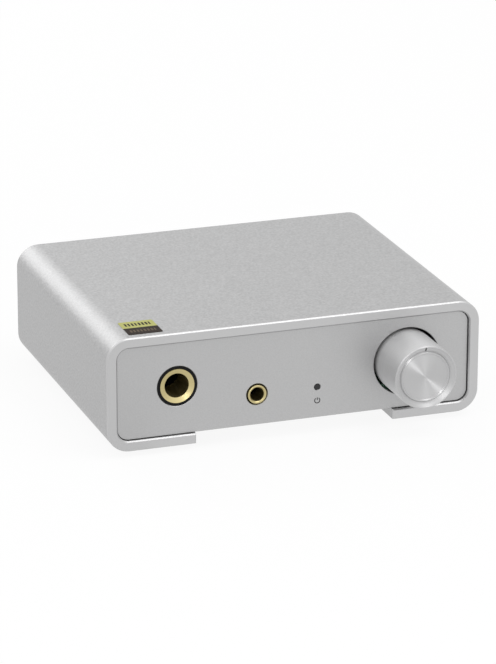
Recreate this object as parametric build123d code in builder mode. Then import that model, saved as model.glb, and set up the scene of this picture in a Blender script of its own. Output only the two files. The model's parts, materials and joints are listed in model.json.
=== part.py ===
from build123d import *
import os

# A desktop converter and headphone amplifier in an extruded aluminium sleeve.
# X runs to the right, Y to the back, Z up. The origin is on the table, under the middle of the
# whole object: midway between the front of the knob and the ends of the rear sockets.
# All sizes are in millimetres.

# ---- Case: a sleeve that is open along the middle of its underside ----
CASE_WIDTH = 100.0
CASE_DEPTH = 81.0
CASE_HEIGHT = 30.0
CASE_WALL = 2.7
CASE_CORNER_RADIUS = 5.8
CASE_EDGE_CHAMFER = 0.3
UNDERSIDE_GAP = 53.2         # open width between the two bottom flanges
CHANNEL_RADIUS = 3.6         # screw channels in the sleeve's four inner corners
CHANNEL_INSET = 3.3          # channel centre to the inner walls
CHANNEL_SETBACK = 0.3        # channels stop this far behind the front panel
FOOT_RADIUS = 5.0
FOOT_HEIGHT = 1.6
FOOT_INSET = 12.0            # foot centre to the sleeve's front or rear edge
FOOT_ROUNDING = 0.4
LABEL_WIDTH = 9.0
LABEL_LENGTH = 9.6
LABEL_THICKNESS = 0.08
LABEL_RADIUS = 0.5
LABEL_SIDE_INSET = 6.6       # label edge to the sleeve's left side
LABEL_FRONT_INSET = 2.5      # label edge to the sleeve's front edge

# ---- Panels and bottom plate ----
PANEL_RECESS = 0.9           # front panel inside the sleeve's front edge
REAR_PANEL_RECESS = 0.6
PANEL_GAP = 0.15             # all round, between a panel and the sleeve
PANEL_THICKNESS = 2.1
REAR_PANEL_THICKNESS = 2.0
PANEL_EDGE_CHAMFER = 0.1
HOLE_CHAMFER = 0.12
LUG_WIDTH = 8.0
LUG_DEPTH = 6.0
LUG_HEIGHT = 2.4
LUG_X = 22.0
REAR_LEFT_LUG_OFFSET = 1.0   # from the middle between the line sockets
PLATE_THICKNESS = 1.2
PLATE_SIDE_GAP = 0.3         # to the screw channels
PLATE_END_GAP = 0.1          # to the panels

# ---- Fasteners: M2.5 ----
SCREW_RADIUS = 1.25
SCREW_FIT = 0.02             # drawn thread clearance in a tapped hole
SCREW_PASSING_GAP = 0.15     # in a clearance hole
COUNTERSINK_RADIUS = 2.4
COUNTERSINK_DEPTH = 1.1
COUNTERSINK_GAP = 0.05
HEX_RECESS_RADIUS = 0.85
HEX_RECESS_DEPTH = 0.7
PAN_HEAD_RADIUS = 2.2
PAN_HEAD_HEIGHT = 1.5
PAN_HEAD_ROUNDING = 0.5
REAR_SCREW_LENGTH = 9.0
CHASSIS_SCREW_LENGTH = 3.4
BOARD_SCREW_LENGTH = 4.0     # under the head

# ---- Main board ----
BOARD_THICKNESS = 1.6
BOARD_FRONT_GAP = 1.2
BOARD_REAR_GAP = 0.6
BOARD_SIDE_GAP = 0.8
BOARD_CORNER_RADIUS = 1.0
STANDOFF_HEIGHT = 3.0
STANDOFF_RADIUS = 2.5
STANDOFF_SHANK_RADIUS = 1.9
LEFT_STANDOFF_OFFSET = 7.9   # front standoff, left of the small jack's axis
RIGHT_STANDOFF_OFFSET = 12.55 # front standoff, left of the knob's axis
FRONT_STANDOFF_DEPTH = 9.5   # from the board's front edge
REAR_STANDOFF_X = 36.0
REAR_STANDOFF_DEPTH = 15.0   # from the board's rear edge
PIN_FIT = 0.05               # round pins that pass through the board or a housing
PIN_PROTRUSION = 1.2         # below the board

# ---- 6.35 mm headphone jack ----
BIG_JACK_INSET = 18.7        # axis to the sleeve's left side
BIG_JACK_AXIS_HEIGHT = 7.15  # above the board
BIG_JACK_BORE_RADIUS = 3.22
BIG_JACK_BOX_WIDTH = 15.6
BIG_JACK_BOX_HEIGHT = 14.3
BIG_JACK_BOX_DEPTH = 28.0
BIG_JACK_COLLAR_RADIUS = 5.25
BIG_JACK_COLLAR_RECESS = 0.25
BIG_JACK_RIM_RADIUS = 4.5    # gold rim of the ferrule
BIG_JACK_RIM_LENGTH = 1.2
BIG_JACK_CONE_DEPTH = 0.55
BIG_JACK_RIM_LAND = 0.05      # flat left at the edge of the rim
BIG_JACK_TUBE_WALL = 0.7
BIG_JACK_TUBE_LENGTH = 9.4
BIG_JACK_INNER_RADIUS = 3.45
BIG_JACK_BACK_WALL = 2.0
BIG_SPRING_INSET = 1.2       # spring to the outside of the housing
BIG_SPRING_SLOPE = 0.4
BIG_SPRING_BEND = 2.5        # from the dimple back to the bend
BIG_SPRING_TAIL = 2.0        # ahead of the dimple
BIG_SPRING_LIFT = 1.1
BIG_TIP_DIMPLE_DEPTH = 9.0   # ahead of the housing's back
BIG_RING_DIMPLE_DEPTH = 15.0
BIG_TIP_PIN_DEPTH = 4.0
BIG_SLOT_START = 1.0         # behind the end of the ferrule's tube

# ---- 3.5 mm headphone jack ----
SMALL_JACK_SPACING = 21.2    # between the two jacks' axes
SMALL_JACK_AXIS_HEIGHT = 2.45
SMALL_JACK_BORE_RADIUS = 1.83
SMALL_JACK_INNER_RADIUS = 2.0   # bore of the housing behind the ferrule
SMALL_JACK_BOX_WIDTH = 6.2
SMALL_JACK_BOX_HEIGHT = 4.9
SMALL_JACK_BOX_DEPTH = 12.6
SMALL_JACK_RIM_RADIUS = 2.5
SMALL_JACK_RIM_PROUD = 0.3   # ahead of the front panel
SMALL_JACK_RIM_ROUNDING = 0.25
SMALL_JACK_SPIGOT_RADIUS = 2.15
SMALL_JACK_SPIGOT_LENGTH = 3.0
SMALL_JACK_BACK_WALL = 0.6
SMALL_JACK_PANEL_GAP = 0.35
SMALL_SPRING_INSET = 0.75    # spring to the outside of the housing
SMALL_SPRING_STRAIGHT = 3.0  # from its pin forward to the bend
SMALL_SPRING_REACH = 5.0     # from its pin forward to the dimple
SMALL_SPRING_TAIL = 1.0
SMALL_SPRING_LIFT = 0.3
SMALL_PIN_DEPTH = 1.4        # ahead of the housing's back
SMALL_PIN_WIDTH = 0.6

JACK_PANEL_GAP = 0.08        # around the big jack's collar
BOX_PANEL_GAP = 0.2          # between a housing and the back of the front panel
FERRULE_FIT = 0.02
CONTACT_THICKNESS = 0.35
CONTACT_WIDTH = 2.0
CONTACT_GAP = 0.25           # around a contact in its slot
SMALL_CONTACT_THICKNESS = 0.2
SMALL_CONTACT_WIDTH = 1.2
SMALL_CONTACT_GAP = 0.12

# ---- Status light ----
LIGHT_OFFSET = 24.4          # to the left of the knob's axis
LIGHT_HEIGHT = 2.5           # above the board
LIGHT_PIPE_RADIUS = 0.78
LIGHT_PIPE_GAP = 0.05
LIGHT_FOOT_WIDTH = 3.6
LIGHT_FOOT_DEPTH = 2.4
LIGHT_FOOT_SETBACK = 3.0     # behind the panel
LED_WIDTH = 2.0
LED_DEPTH = 1.25
LED_HEIGHT = 0.7
LED_GAP = 0.15

# ---- Volume control and knob ----
KNOB_INSET = 19.45           # axis to the sleeve's right side
KNOB_RADIUS = 8.35
KNOB_REACH = 12.3            # ahead of the sleeve's front edge
KNOB_SINK = 1.6              # into the panel's hole
KNOB_GAP = 0.71              # between the knob and the panel's hole
KNOB_RIM_CHAMFER = 0.22
KNOB_RIM_WIDTH = 0.12
KNOB_SKIRT_WALL = 1.4
KNOB_WEB_DEPTH = 5.0         # from the front to the hollow back
KNOB_HUB_RADIUS = 4.9
KNOB_HUB_SETBACK = 1.3       # hub end to the skirt's end
KNOB_SHAFT_STOP = 3.6        # front of the shaft's bore
DISH_DEPTH = 0.75
DISH_SAG = 0.13
INLAY_RADIUS = 6.75
INLAY_POCKET_DEPTH = 1.6
INLAY_FIT = 0.02
INLAY_FACE_DEPTH = 0.62
INLAY_RIDGE_WIDTH = 0.7
INLAY_RIDGE_HEIGHT = 0.24
POINTER_WIDTH = 0.42
POINTER_LENGTH = 0.95
POINTER_DEPTH = 0.5
POINTER_RIM_SETBACK = 0.12   # outer end of the mark to the inside of the rim
SET_SCREW_RADIUS = 1.5
SET_SCREW_LENGTH = 1.7
SET_SCREW_HEX_RADIUS = 0.85
SET_SCREW_HEX_DEPTH = 0.9
SET_SCREW_DEPTH = 9.4        # from the knob's front to the set screw's axis

SHAFT_RADIUS = 3.0
SHAFT_FLAT = 1.5             # cut off one side
SHAFT_FIT = 0.02             # in the knob and rotors
SHAFT_RUNNING_GAP = 0.05     # in the bushing
SHAFT_END_GAP = 0.1
SHAFT_TAIL_RADIUS = 2.0
BUSHING_RADIUS = 3.5
BUSHING_KNOB_GAP = 0.6
POT_AXIS_HEIGHT = 6.67       # above the board
POT_WIDTH = 9.8
POT_TOP_RISE = 5.8           # above the shaft's axis
POT_DEPTH = 12.0
POT_PANEL_GAP = 2.0
POT_WALL = 1.2
POT_REAR_WALL = 1.0
POT_CAVITY_RADIUS = 4.4
POT_WALL_HOLE_GAP = 0.3
ROTOR_RADIUS = 4.1
ROTOR_THICKNESS = 1.2
WAFER_THICKNESS = 0.8
WAFER_BORE_RADIUS = 2.3
ROTOR_GAP = 0.3              # between a rotor, its wafer and the walls
GANG_PITCH = 4.6
GANGS = 2
POWER_SWITCH_DEPTH = 5.0
POWER_SWITCH_TOP_RISE = 4.6
POT_PIN_SIZE = 0.8
POT_PIN_PITCH = 2.5

# ---- Line output sockets ----
SOCKET_REACH = 8.9           # behind the sleeve's rear edge
LINE_SPACING = 18.0
LINE_INSET = 18.0            # outer socket's axis to the sleeve's left side
LINE_AXIS_HEIGHT = 7.2
LINE_SHELL_RADIUS = 4.15
LINE_SHELL_WALL = 0.6
LINE_SHELL_CHAMFER = 0.25
LINE_NECK_RADIUS = 3.95      # shell inside the case
LINE_NECK_REACH = 0.3        # neck beyond the rear panel
LINE_SHELL_SEAT = 3.0        # length held in the housing
LINE_PANEL_GAP = 0.2
LINE_BODY_WIDTH = 10.4
LINE_BODY_TOP_RISE = 5.2
LINE_BODY_DEPTH = 9.0
LINE_BODY_PANEL_GAP = 0.05
LINE_BORE_RADIUS = 1.65
LINE_INSULATOR_RECESS = 0.8
LINE_INSULATOR_FIT = 0.02
LINE_INSULATOR_LIP = 1.5
LINE_CONTACT_WALL = 0.4
LINE_TAIL_RADIUS = 0.8
LINE_TAIL_LENGTH = 3.0
LINE_PIN_WIDTH = 0.8
LINE_PIN_PITCH = 5.0

# ---- USB-C socket ----
USB_X = 8.0
USB_WIDTH = 8.94
USB_HEIGHT = 3.16
USB_WALL = 0.3
USB_DEPTH = 7.35
USB_PANEL_GAP = 0.2
USB_TONGUE_WIDTH = 6.69
USB_TONGUE_THICKNESS = 0.7
USB_TONGUE_SETBACK = 1.3     # tongue tip to the mouth
USB_BLOCK_DEPTH = 1.5
USB_BLOCK_FIT = 0.01
USB_PADS = 12
USB_PAD_PITCH = 0.5
USB_PAD_WIDTH = 0.25
USB_PAD_LENGTH = 3.6
USB_PAD_THICKNESS = 0.05

# ---- Gain switch ----
GAIN_X = 32.0
GAIN_AXIS_HEIGHT = 2.2
GAIN_TRAVEL = 2.0
GAIN_HOUSING_WALL = 0.7
GAIN_HOUSING_DEPTH = 3.6
GAIN_LIP = 0.7
GAIN_BLOCK_WIDTH = 3.4
GAIN_BLOCK_HEIGHT = 2.6
GAIN_BLOCK_DEPTH = 1.9
GAIN_LEVER_WIDTH = 1.6
GAIN_LEVER_HEIGHT = 1.5
GAIN_LEVER_PROUD = 1.0       # behind the rear panel's outer face
GAIN_SLIDE_GAP = 0.08
GAIN_SLOT_GAP = 0.3
GAIN_PIN_SIZE = 0.5
GAIN_PIN_PITCH = 2.0

# ---- Parts on the board: sizes, with places measured from the middle of the board ----
CHIP_FOOT_LENGTH = 0.6
CHIP_LEG_THICKNESS = 0.2
CHIP_STANDOFF = 0.1
BRIDGE_CHIP = dict(width=10.0, length=10.0, height=1.3, pins=16, pitch=0.5, pin_width=0.22)
CONVERTER_CHIP = dict(width=4.4, length=9.7, height=1.1, pins=14, pitch=0.65, pin_width=0.25)
OPAMP_CHIP = dict(width=3.9, length=4.9, height=1.5, pins=4, pitch=1.27, pin_width=0.42)
REGULATOR_CHIP = dict(width=3.5, length=6.5, height=1.6, pins=3, pitch=2.3, pin_width=0.8)
BRIDGE_AT = (7.0, 17.0)
CONVERTER_AT = (2.0, 2.0)
OPAMPS_AT = [(-8.0, -5.0), (-8.0, 7.0), (-16.0, -5.0), (-16.0, 7.0)]
REGULATORS_AT = [(24.0, 20.0), (31.0, 20.0), (-27.0, 20.0)]
OSCILLATOR_SIZE = (5.0, 3.2, 1.3)
OSCILLATORS_AT = [(-4.0, 16.0), (-4.0, 21.0)]
CAN_RADIUS = 3.15
CAN_HEIGHT = 7.7
CAN_BASE = 6.6
CAN_BASE_HEIGHT = 0.9
CAN_GROOVE_DEPTH = 0.25
CAN_GROOVE_HEIGHT = 0.8
CANS_AT = [(14.0, -8.0), (22.0, -8.0), (30.0, -8.0), (14.0, 0.0), (22.0, 0.0), (30.0, 0.0)]
FILM_CAP_SIZE = (7.2, 4.6, 6.5)
FILM_CAPS_AT = [(-26.0, -2.0), (-26.0, 4.0), (-26.0, 10.0), (-16.0, 14.5)]
CASED_PART_ROUNDING = 0.4
INDUCTOR_SIZE = (5.0, 5.0, 3.0)
INDUCTORS_AT = [(16.0, 20.0), (16.0, 27.0)]
RELAY_SIZE = (7.4, 10.0, 5.4)
RELAY_AT = (-35.5, 6.0)
CHIP_CAP_SIZE = (2.0, 1.25, 0.9)
CHIP_RESISTOR_SIZE = (1.6, 0.8, 0.45)
CHIP_CAP_GRID = (3.2, 3.0)
CHIP_RESISTOR_GRID = (2.6, 1.8)
CHIP_GRID_COUNTS = (2, 4)
CHIP_CAPS_AT = [(2.0, -9.5), (32.0, 10.0)]
CHIP_RESISTORS_AT = [(-12.0, 1.0), (21.0, 9.0)]

# ---- Levels and depths worked out from the sizes above ----
CASE_BASE = FOOT_HEIGHT
CASE_TOP = CASE_BASE + CASE_HEIGHT
CASE_MIDDLE = CASE_BASE + CASE_HEIGHT / 2
CASE_FRONT = (KNOB_REACH - CASE_DEPTH - SOCKET_REACH) / 2
CASE_REAR = CASE_FRONT + CASE_DEPTH
INNER_WIDTH = CASE_WIDTH - 2 * CASE_WALL
INNER_HEIGHT = CASE_HEIGHT - 2 * CASE_WALL
INNER_RADIUS = CASE_CORNER_RADIUS - CASE_WALL
FLANGE_TOP = CASE_BASE + CASE_WALL
PANEL_FRONT = CASE_FRONT + PANEL_RECESS
PANEL_BACK = PANEL_FRONT + PANEL_THICKNESS
REAR_FACE = CASE_REAR - REAR_PANEL_RECESS
REAR_INNER = REAR_FACE - REAR_PANEL_THICKNESS
PANEL_WIDTH = INNER_WIDTH - 2 * PANEL_GAP
PANEL_HEIGHT = INNER_HEIGHT - 2 * PANEL_GAP
PANEL_CORNER_RADIUS = INNER_RADIUS - PANEL_GAP
CHANNEL_X = INNER_WIDTH / 2 - CHANNEL_INSET
CHANNEL_Z = INNER_HEIGHT / 2 - CHANNEL_INSET
CHANNEL_FRONT = PANEL_BACK + CHANNEL_SETBACK
CHANNEL_CENTRES = [(i * CHANNEL_X, j * CHANNEL_Z) for i in (-1, 1) for j in (-1, 1)]
PLATE_WIDTH = 2 * (CHANNEL_X - CHANNEL_RADIUS - PLATE_SIDE_GAP)
PLATE_FRONT = PANEL_BACK + PLATE_END_GAP
PLATE_REAR = REAR_INNER - PLATE_END_GAP
PLATE_TOP = FLANGE_TOP + PLATE_THICKNESS
BOARD_WIDTH = PLATE_WIDTH - 2 * BOARD_SIDE_GAP
BOARD_FRONT = PANEL_BACK + BOARD_FRONT_GAP
BOARD_REAR = REAR_INNER - BOARD_REAR_GAP
BOARD_MIDDLE = (BOARD_FRONT + BOARD_REAR) / 2
BOARD_BOTTOM = PLATE_TOP + STANDOFF_HEIGHT
BOARD_TOP = BOARD_BOTTOM + BOARD_THICKNESS
PIN_BOTTOM = BOARD_BOTTOM - PIN_PROTRUSION
TAPPED_RADIUS = SCREW_RADIUS + SCREW_FIT
PASSING_RADIUS = SCREW_RADIUS + SCREW_PASSING_GAP
BOX_FRONT = PANEL_BACK + BOX_PANEL_GAP
BIG_JACK_X = -CASE_WIDTH / 2 + BIG_JACK_INSET
BIG_JACK_Z = BOARD_TOP + BIG_JACK_AXIS_HEIGHT
BIG_JACK_BACK = BOX_FRONT + BIG_JACK_BOX_DEPTH
BIG_JACK_TUBE_RADIUS = BIG_JACK_BORE_RADIUS + BIG_JACK_TUBE_WALL
SMALL_JACK_X = BIG_JACK_X + SMALL_JACK_SPACING
SMALL_JACK_Z = BOARD_TOP + SMALL_JACK_AXIS_HEIGHT
SMALL_JACK_BACK = BOX_FRONT + SMALL_JACK_BOX_DEPTH

KNOB_X = CASE_WIDTH / 2 - KNOB_INSET
KNOB_Z = BOARD_TOP + POT_AXIS_HEIGHT
KNOB_FRONT = CASE_FRONT - KNOB_REACH
KNOB_BACK = PANEL_FRONT + KNOB_SINK
HUB_BACK = KNOB_BACK - KNOB_HUB_SETBACK
BUSHING_FRONT = HUB_BACK + BUSHING_KNOB_GAP
POT_FRONT = PANEL_BACK + POT_PANEL_GAP
POT_BACK = POT_FRONT + POT_DEPTH
POT_CAVITY_FRONT = POT_FRONT + POT_WALL
LIGHT_X = KNOB_X - LIGHT_OFFSET
LIGHT_Z = BOARD_TOP + LIGHT_HEIGHT

LINES_X = [-CASE_WIDTH / 2 + LINE_INSET, -CASE_WIDTH / 2 + LINE_INSET + LINE_SPACING]
LINE_Z = BOARD_TOP + LINE_AXIS_HEIGHT
LINE_END = CASE_REAR + SOCKET_REACH
LINE_NECK_END = REAR_FACE + LINE_NECK_REACH
LINE_BODY_BACK = REAR_INNER - LINE_BODY_PANEL_GAP
LINE_SEAT = LINE_BODY_BACK - LINE_SHELL_SEAT
LINE_FACE = LINE_END - LINE_INSULATOR_RECESS
LINE_INSULATOR_RADIUS = LINE_SHELL_RADIUS - LINE_SHELL_WALL - LINE_INSULATOR_FIT
LINE_CONTACT_RADIUS = LINE_BORE_RADIUS + LINE_CONTACT_WALL

STANDOFFS_AT = [
    (SMALL_JACK_X - LEFT_STANDOFF_OFFSET, BOARD_FRONT + FRONT_STANDOFF_DEPTH),
    (KNOB_X - RIGHT_STANDOFF_OFFSET, BOARD_FRONT + FRONT_STANDOFF_DEPTH),
    (-REAR_STANDOFF_X, BOARD_REAR - REAR_STANDOFF_DEPTH),
    (REAR_STANDOFF_X, BOARD_REAR - REAR_STANDOFF_DEPTH),
]
FRONT_LUGS_AT = [(i * LUG_X, PANEL_BACK + LUG_DEPTH / 2) for i in (-1, 1)]
REAR_LUGS_AT = [(x, REAR_INNER - LUG_DEPTH / 2) for x in (sum(LINES_X) / 2 + REAR_LEFT_LUG_OFFSET, LUG_X)]
LUGS_AT = FRONT_LUGS_AT + REAR_LUGS_AT

USB_Z = BOARD_TOP + USB_HEIGHT / 2
USB_FRONT = REAR_FACE - USB_DEPTH
GAIN_Z = BOARD_TOP + GAIN_AXIS_HEIGHT
GAIN_REST_X = GAIN_X - GAIN_TRAVEL / 2


# ---- Helpers ----
def facing(y, x=0.0, z=0.0):
    """Plane at depth y that faces the front, with its sketch origin at (x, z)."""
    return Plane(origin=(x, y, z), x_dir=(1, 0, 0), z_dir=(0, -1, 0))


def lengthwise(x, z):
    """Upright plane along Y through (x, z): its sketch points are (y, height above z)."""
    return Plane(origin=(x, 0, z), x_dir=(0, 1, 0), z_dir=(1, 0, 0))


def turn(outline, x, z, mode=Mode.ADD):
    """Revolve closed outline points (y, radius) about the line along Y through (x, z)."""
    with BuildSketch(lengthwise(x, z)) as profile:
        with BuildLine():
            Polyline(*outline, close=True)
        make_face()
    revolve(profile.sketch, axis=Axis((x, 0, z), (0, 1, 0)), mode=mode)


def disc(x, z, front, back, radius, mode=Mode.ADD):
    """Solid or cut cylinder along Y from depth front to depth back."""
    with BuildSketch(facing(front, x, z)) as profile:
        Circle(radius)
    extrude(profile.sketch, amount=front - back, mode=mode)


def block(x_range, y_range, z_range, mode=Mode.ADD):
    """Solid or cut box between two values on each axis."""
    with BuildSketch(Plane.XY.offset(z_range[0])) as profile:
        with Locations(((x_range[0] + x_range[1]) / 2, (y_range[0] + y_range[1]) / 2)):
            Rectangle(x_range[1] - x_range[0], y_range[1] - y_range[0])
    extrude(profile.sketch, amount=z_range[1] - z_range[0], mode=mode)


def around(centre, width):
    """The two ends of a stretch of this width about a centre."""
    return (centre - width / 2, centre + width / 2)


def on_board(place):
    """A place measured from the board's middle, as (x, y)."""
    return (place[0], BOARD_MIDDLE + place[1])


def save(part, name):
    part.label = name
    export_step(part, "parts/" + name + ".step")


def countersunk_screw(length):
    """Hex-socket countersunk screw pointing down, its head's face at the origin."""
    with BuildPart() as screw:
        Cylinder(SCREW_RADIUS, length, align=(Align.CENTER, Align.CENTER, Align.MAX))
        Cone(SCREW_RADIUS, COUNTERSINK_RADIUS, COUNTERSINK_DEPTH,
             align=(Align.CENTER, Align.CENTER, Align.MAX))
        with BuildSketch(Plane.XY):
            RegularPolygon(HEX_RECESS_RADIUS, 6)
        extrude(amount=-HEX_RECESS_DEPTH, mode=Mode.SUBTRACT)
    return screw.part


def pan_head_screw(length):
    """Pan-head screw with a cross recess, pointing down, its head resting at the origin."""
    with BuildPart() as screw:
        Cylinder(PAN_HEAD_RADIUS, PAN_HEAD_HEIGHT, align=(Align.CENTER, Align.CENTER, Align.MIN))
        fillet(screw.edges().group_by(Axis.Z)[-1], radius=PAN_HEAD_ROUNDING)
        Cylinder(SCREW_RADIUS, length, align=(Align.CENTER, Align.CENTER, Align.MAX))
        with BuildSketch(Plane.XY.offset(PAN_HEAD_HEIGHT)):
            Rectangle(2 * SCREW_RADIUS, HEX_RECESS_DEPTH)
            Rectangle(HEX_RECESS_DEPTH, 2 * SCREW_RADIUS)
        extrude(amount=-HEX_RECESS_DEPTH, mode=Mode.SUBTRACT)
    return screw.part


def chip(width, length, height, pins, pitch, pin_width):
    """Chip that stands on the origin, with a row of bent legs on each long side."""
    leg_top = CHIP_STANDOFF + height / 2
    with BuildPart() as body:
        with BuildSketch(Plane.XY.offset(CHIP_STANDOFF)):
            Rectangle(width, length)
        extrude(amount=height)
        for side in (-1, 1):
            foot_middle = side * (width / 2 + CHIP_FOOT_LENGTH / 2 + CHIP_LEG_THICKNESS)
            riser_middle = side * (width / 2 + CHIP_LEG_THICKNESS / 2)
            with BuildSketch(Plane.XY):
                with Locations((foot_middle, 0)):
                    with GridLocations(0, pitch, 1, pins):
                        Rectangle(CHIP_FOOT_LENGTH, pin_width)
            extrude(amount=CHIP_LEG_THICKNESS)
            with BuildSketch(Plane.XY):
                with Locations((riser_middle, 0)):
                    with GridLocations(0, pitch, 1, pins):
                        Rectangle(CHIP_LEG_THICKNESS, pin_width)
            extrude(amount=leg_top)
    return body.part


def cased_part(width, length, height):
    """Moulded box that stands on the origin, with its upper edges rounded."""
    with BuildPart() as body:
        with BuildSketch(Plane.XY):
            Rectangle(width, length)
        extrude(amount=height)
        fillet(body.edges().group_by(Axis.Z)[-1], radius=min(CASED_PART_ROUNDING, height / 4))
    return body.part


def can_capacitor():
    """Surface-mounted electrolytic capacitor: a square base and a can with a crimped groove."""
    with BuildPart() as body:
        with BuildSketch(Plane.XY):
            Rectangle(CAN_BASE, CAN_BASE)
        extrude(amount=CAN_BASE_HEIGHT)
        with BuildSketch(Plane.XY.offset(CAN_BASE_HEIGHT)):
            Circle(CAN_RADIUS)
        extrude(amount=CAN_HEIGHT - CAN_BASE_HEIGHT)
        with BuildSketch(Plane.XY.offset(CAN_BASE_HEIGHT + CAN_GROOVE_HEIGHT)):
            Circle(CAN_RADIUS)
            Circle(CAN_RADIUS - CAN_GROOVE_DEPTH, mode=Mode.SUBTRACT)
        extrude(amount=CAN_GROOVE_HEIGHT, mode=Mode.SUBTRACT)
    return body.part


os.makedirs("parts", exist_ok=True)
CASE_SCREW = countersunk_screw(REAR_SCREW_LENGTH)
PLATE_SCREW = countersunk_screw(CHASSIS_SCREW_LENGTH)
BOARD_SCREW = pan_head_screw(BOARD_SCREW_LENGTH)

# ---- Sleeve ----
with BuildPart() as sleeve:
    with BuildSketch(facing(CASE_FRONT, 0, CASE_MIDDLE)):
        RectangleRounded(CASE_WIDTH, CASE_HEIGHT, CASE_CORNER_RADIUS)
        RectangleRounded(INNER_WIDTH, INNER_HEIGHT, INNER_RADIUS, mode=Mode.SUBTRACT)
        with Locations((0, -CASE_HEIGHT / 2)):
            Rectangle(UNDERSIDE_GAP, 2 * CASE_WALL, mode=Mode.SUBTRACT)
    extrude(amount=-CASE_DEPTH)
    chamfer(sleeve.faces().sort_by(Axis.Y)[0].edges(), length=CASE_EDGE_CHAMFER)
    chamfer(sleeve.faces().sort_by(Axis.Y)[-1].edges(), length=CASE_EDGE_CHAMFER)
    with BuildSketch(facing(CHANNEL_FRONT, 0, CASE_MIDDLE)):
        with Locations(*CHANNEL_CENTRES):
            Circle(CHANNEL_RADIUS)
    extrude(amount=CHANNEL_FRONT - REAR_INNER)
    with BuildSketch(facing(REAR_INNER, 0, CASE_MIDDLE)):
        with Locations(*CHANNEL_CENTRES):
            Circle(TAPPED_RADIUS)
    extrude(amount=REAR_SCREW_LENGTH, mode=Mode.SUBTRACT)
save(sleeve.part, "sleeve")

# ---- Front panel ----
with BuildPart() as front_panel:
    with BuildSketch(facing(PANEL_FRONT, 0, CASE_MIDDLE)):
        RectangleRounded(PANEL_WIDTH, PANEL_HEIGHT, PANEL_CORNER_RADIUS)
    extrude(amount=-PANEL_THICKNESS)
    disc(BIG_JACK_X, BIG_JACK_Z, PANEL_FRONT, PANEL_BACK,
         BIG_JACK_COLLAR_RADIUS + JACK_PANEL_GAP, Mode.SUBTRACT)
    disc(SMALL_JACK_X, SMALL_JACK_Z, PANEL_FRONT, PANEL_BACK,
         SMALL_JACK_RIM_RADIUS + SMALL_JACK_PANEL_GAP, Mode.SUBTRACT)
    disc(LIGHT_X, LIGHT_Z, PANEL_FRONT, PANEL_BACK, LIGHT_PIPE_RADIUS + LIGHT_PIPE_GAP, Mode.SUBTRACT)
    disc(KNOB_X, KNOB_Z, PANEL_FRONT, PANEL_BACK, KNOB_RADIUS + KNOB_GAP, Mode.SUBTRACT)
    face = front_panel.faces().sort_by(Axis.Y)[0]
    chamfer(face.outer_wire().edges(), length=PANEL_EDGE_CHAMFER)
    face = front_panel.faces().sort_by(Axis.Y)[0]
    chamfer([wire.edges()[0] for wire in face.inner_wires()], length=HOLE_CHAMFER)
    for x, y in FRONT_LUGS_AT:
        block(around(x, LUG_WIDTH), around(y, LUG_DEPTH), (PLATE_TOP, PLATE_TOP + LUG_HEIGHT))
    with BuildSketch(Plane.XY.offset(PLATE_TOP)):
        with Locations(*FRONT_LUGS_AT):
            Circle(TAPPED_RADIUS)
    extrude(amount=LUG_HEIGHT, mode=Mode.SUBTRACT)
save(front_panel.part, "front_panel")

# ---- Rear panel ----
with BuildPart() as rear_panel:
    with BuildSketch(facing(REAR_INNER, 0, CASE_MIDDLE)):
        RectangleRounded(PANEL_WIDTH, PANEL_HEIGHT, PANEL_CORNER_RADIUS)
    extrude(amount=-REAR_PANEL_THICKNESS)
    chamfer(rear_panel.faces().sort_by(Axis.Y)[-1].edges(), length=PANEL_EDGE_CHAMFER)
    for x in LINES_X:
        disc(x, LINE_Z, REAR_INNER, REAR_FACE, LINE_SHELL_RADIUS + LINE_PANEL_GAP, Mode.SUBTRACT)
    with BuildSketch(facing(REAR_INNER, USB_X, USB_Z)):
        SlotOverall(USB_WIDTH + 2 * USB_PANEL_GAP, USB_HEIGHT + 2 * USB_PANEL_GAP)
    extrude(amount=-REAR_PANEL_THICKNESS, mode=Mode.SUBTRACT)
    block(around(GAIN_X, GAIN_LEVER_WIDTH + GAIN_TRAVEL + 2 * GAIN_SLOT_GAP),
          (REAR_INNER, REAR_FACE),
          around(GAIN_Z, GAIN_LEVER_HEIGHT + 2 * GAIN_SLOT_GAP), Mode.SUBTRACT)
    for x, z in CHANNEL_CENTRES:
        head_back = REAR_FACE - COUNTERSINK_DEPTH - COUNTERSINK_GAP
        turn([(REAR_INNER, 0), (REAR_INNER, PASSING_RADIUS), (head_back, PASSING_RADIUS),
              (REAR_FACE, COUNTERSINK_RADIUS + COUNTERSINK_GAP), (REAR_FACE, 0)],
             x, CASE_MIDDLE + z, Mode.SUBTRACT)
    for x, y in REAR_LUGS_AT:
        block(around(x, LUG_WIDTH), around(y, LUG_DEPTH), (PLATE_TOP, PLATE_TOP + LUG_HEIGHT))
    with BuildSketch(Plane.XY.offset(PLATE_TOP)):
        with Locations(*REAR_LUGS_AT):
            Circle(TAPPED_RADIUS)
    extrude(amount=LUG_HEIGHT, mode=Mode.SUBTRACT)
save(rear_panel.part, "rear_panel")

# ---- Bottom plate ----
with BuildPart() as bottom_plate:
    block(around(0, PLATE_WIDTH), (PLATE_FRONT, PLATE_REAR), (FLANGE_TOP, PLATE_TOP))
    with BuildSketch(Plane.XY.offset(FLANGE_TOP)):
        with Locations(*STANDOFFS_AT):
            Circle(STANDOFF_SHANK_RADIUS + SCREW_FIT)
        with Locations(*LUGS_AT):
            Circle(PASSING_RADIUS)
    extrude(amount=PLATE_THICKNESS, mode=Mode.SUBTRACT)
    with Locations(*[(x, y, FLANGE_TOP) for x, y in LUGS_AT]):
        Cone(COUNTERSINK_RADIUS + COUNTERSINK_GAP, PASSING_RADIUS, COUNTERSINK_DEPTH + COUNTERSINK_GAP,
             align=(Align.CENTER, Align.CENTER, Align.MIN), mode=Mode.SUBTRACT)
save(bottom_plate.part, "bottom_plate")

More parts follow.
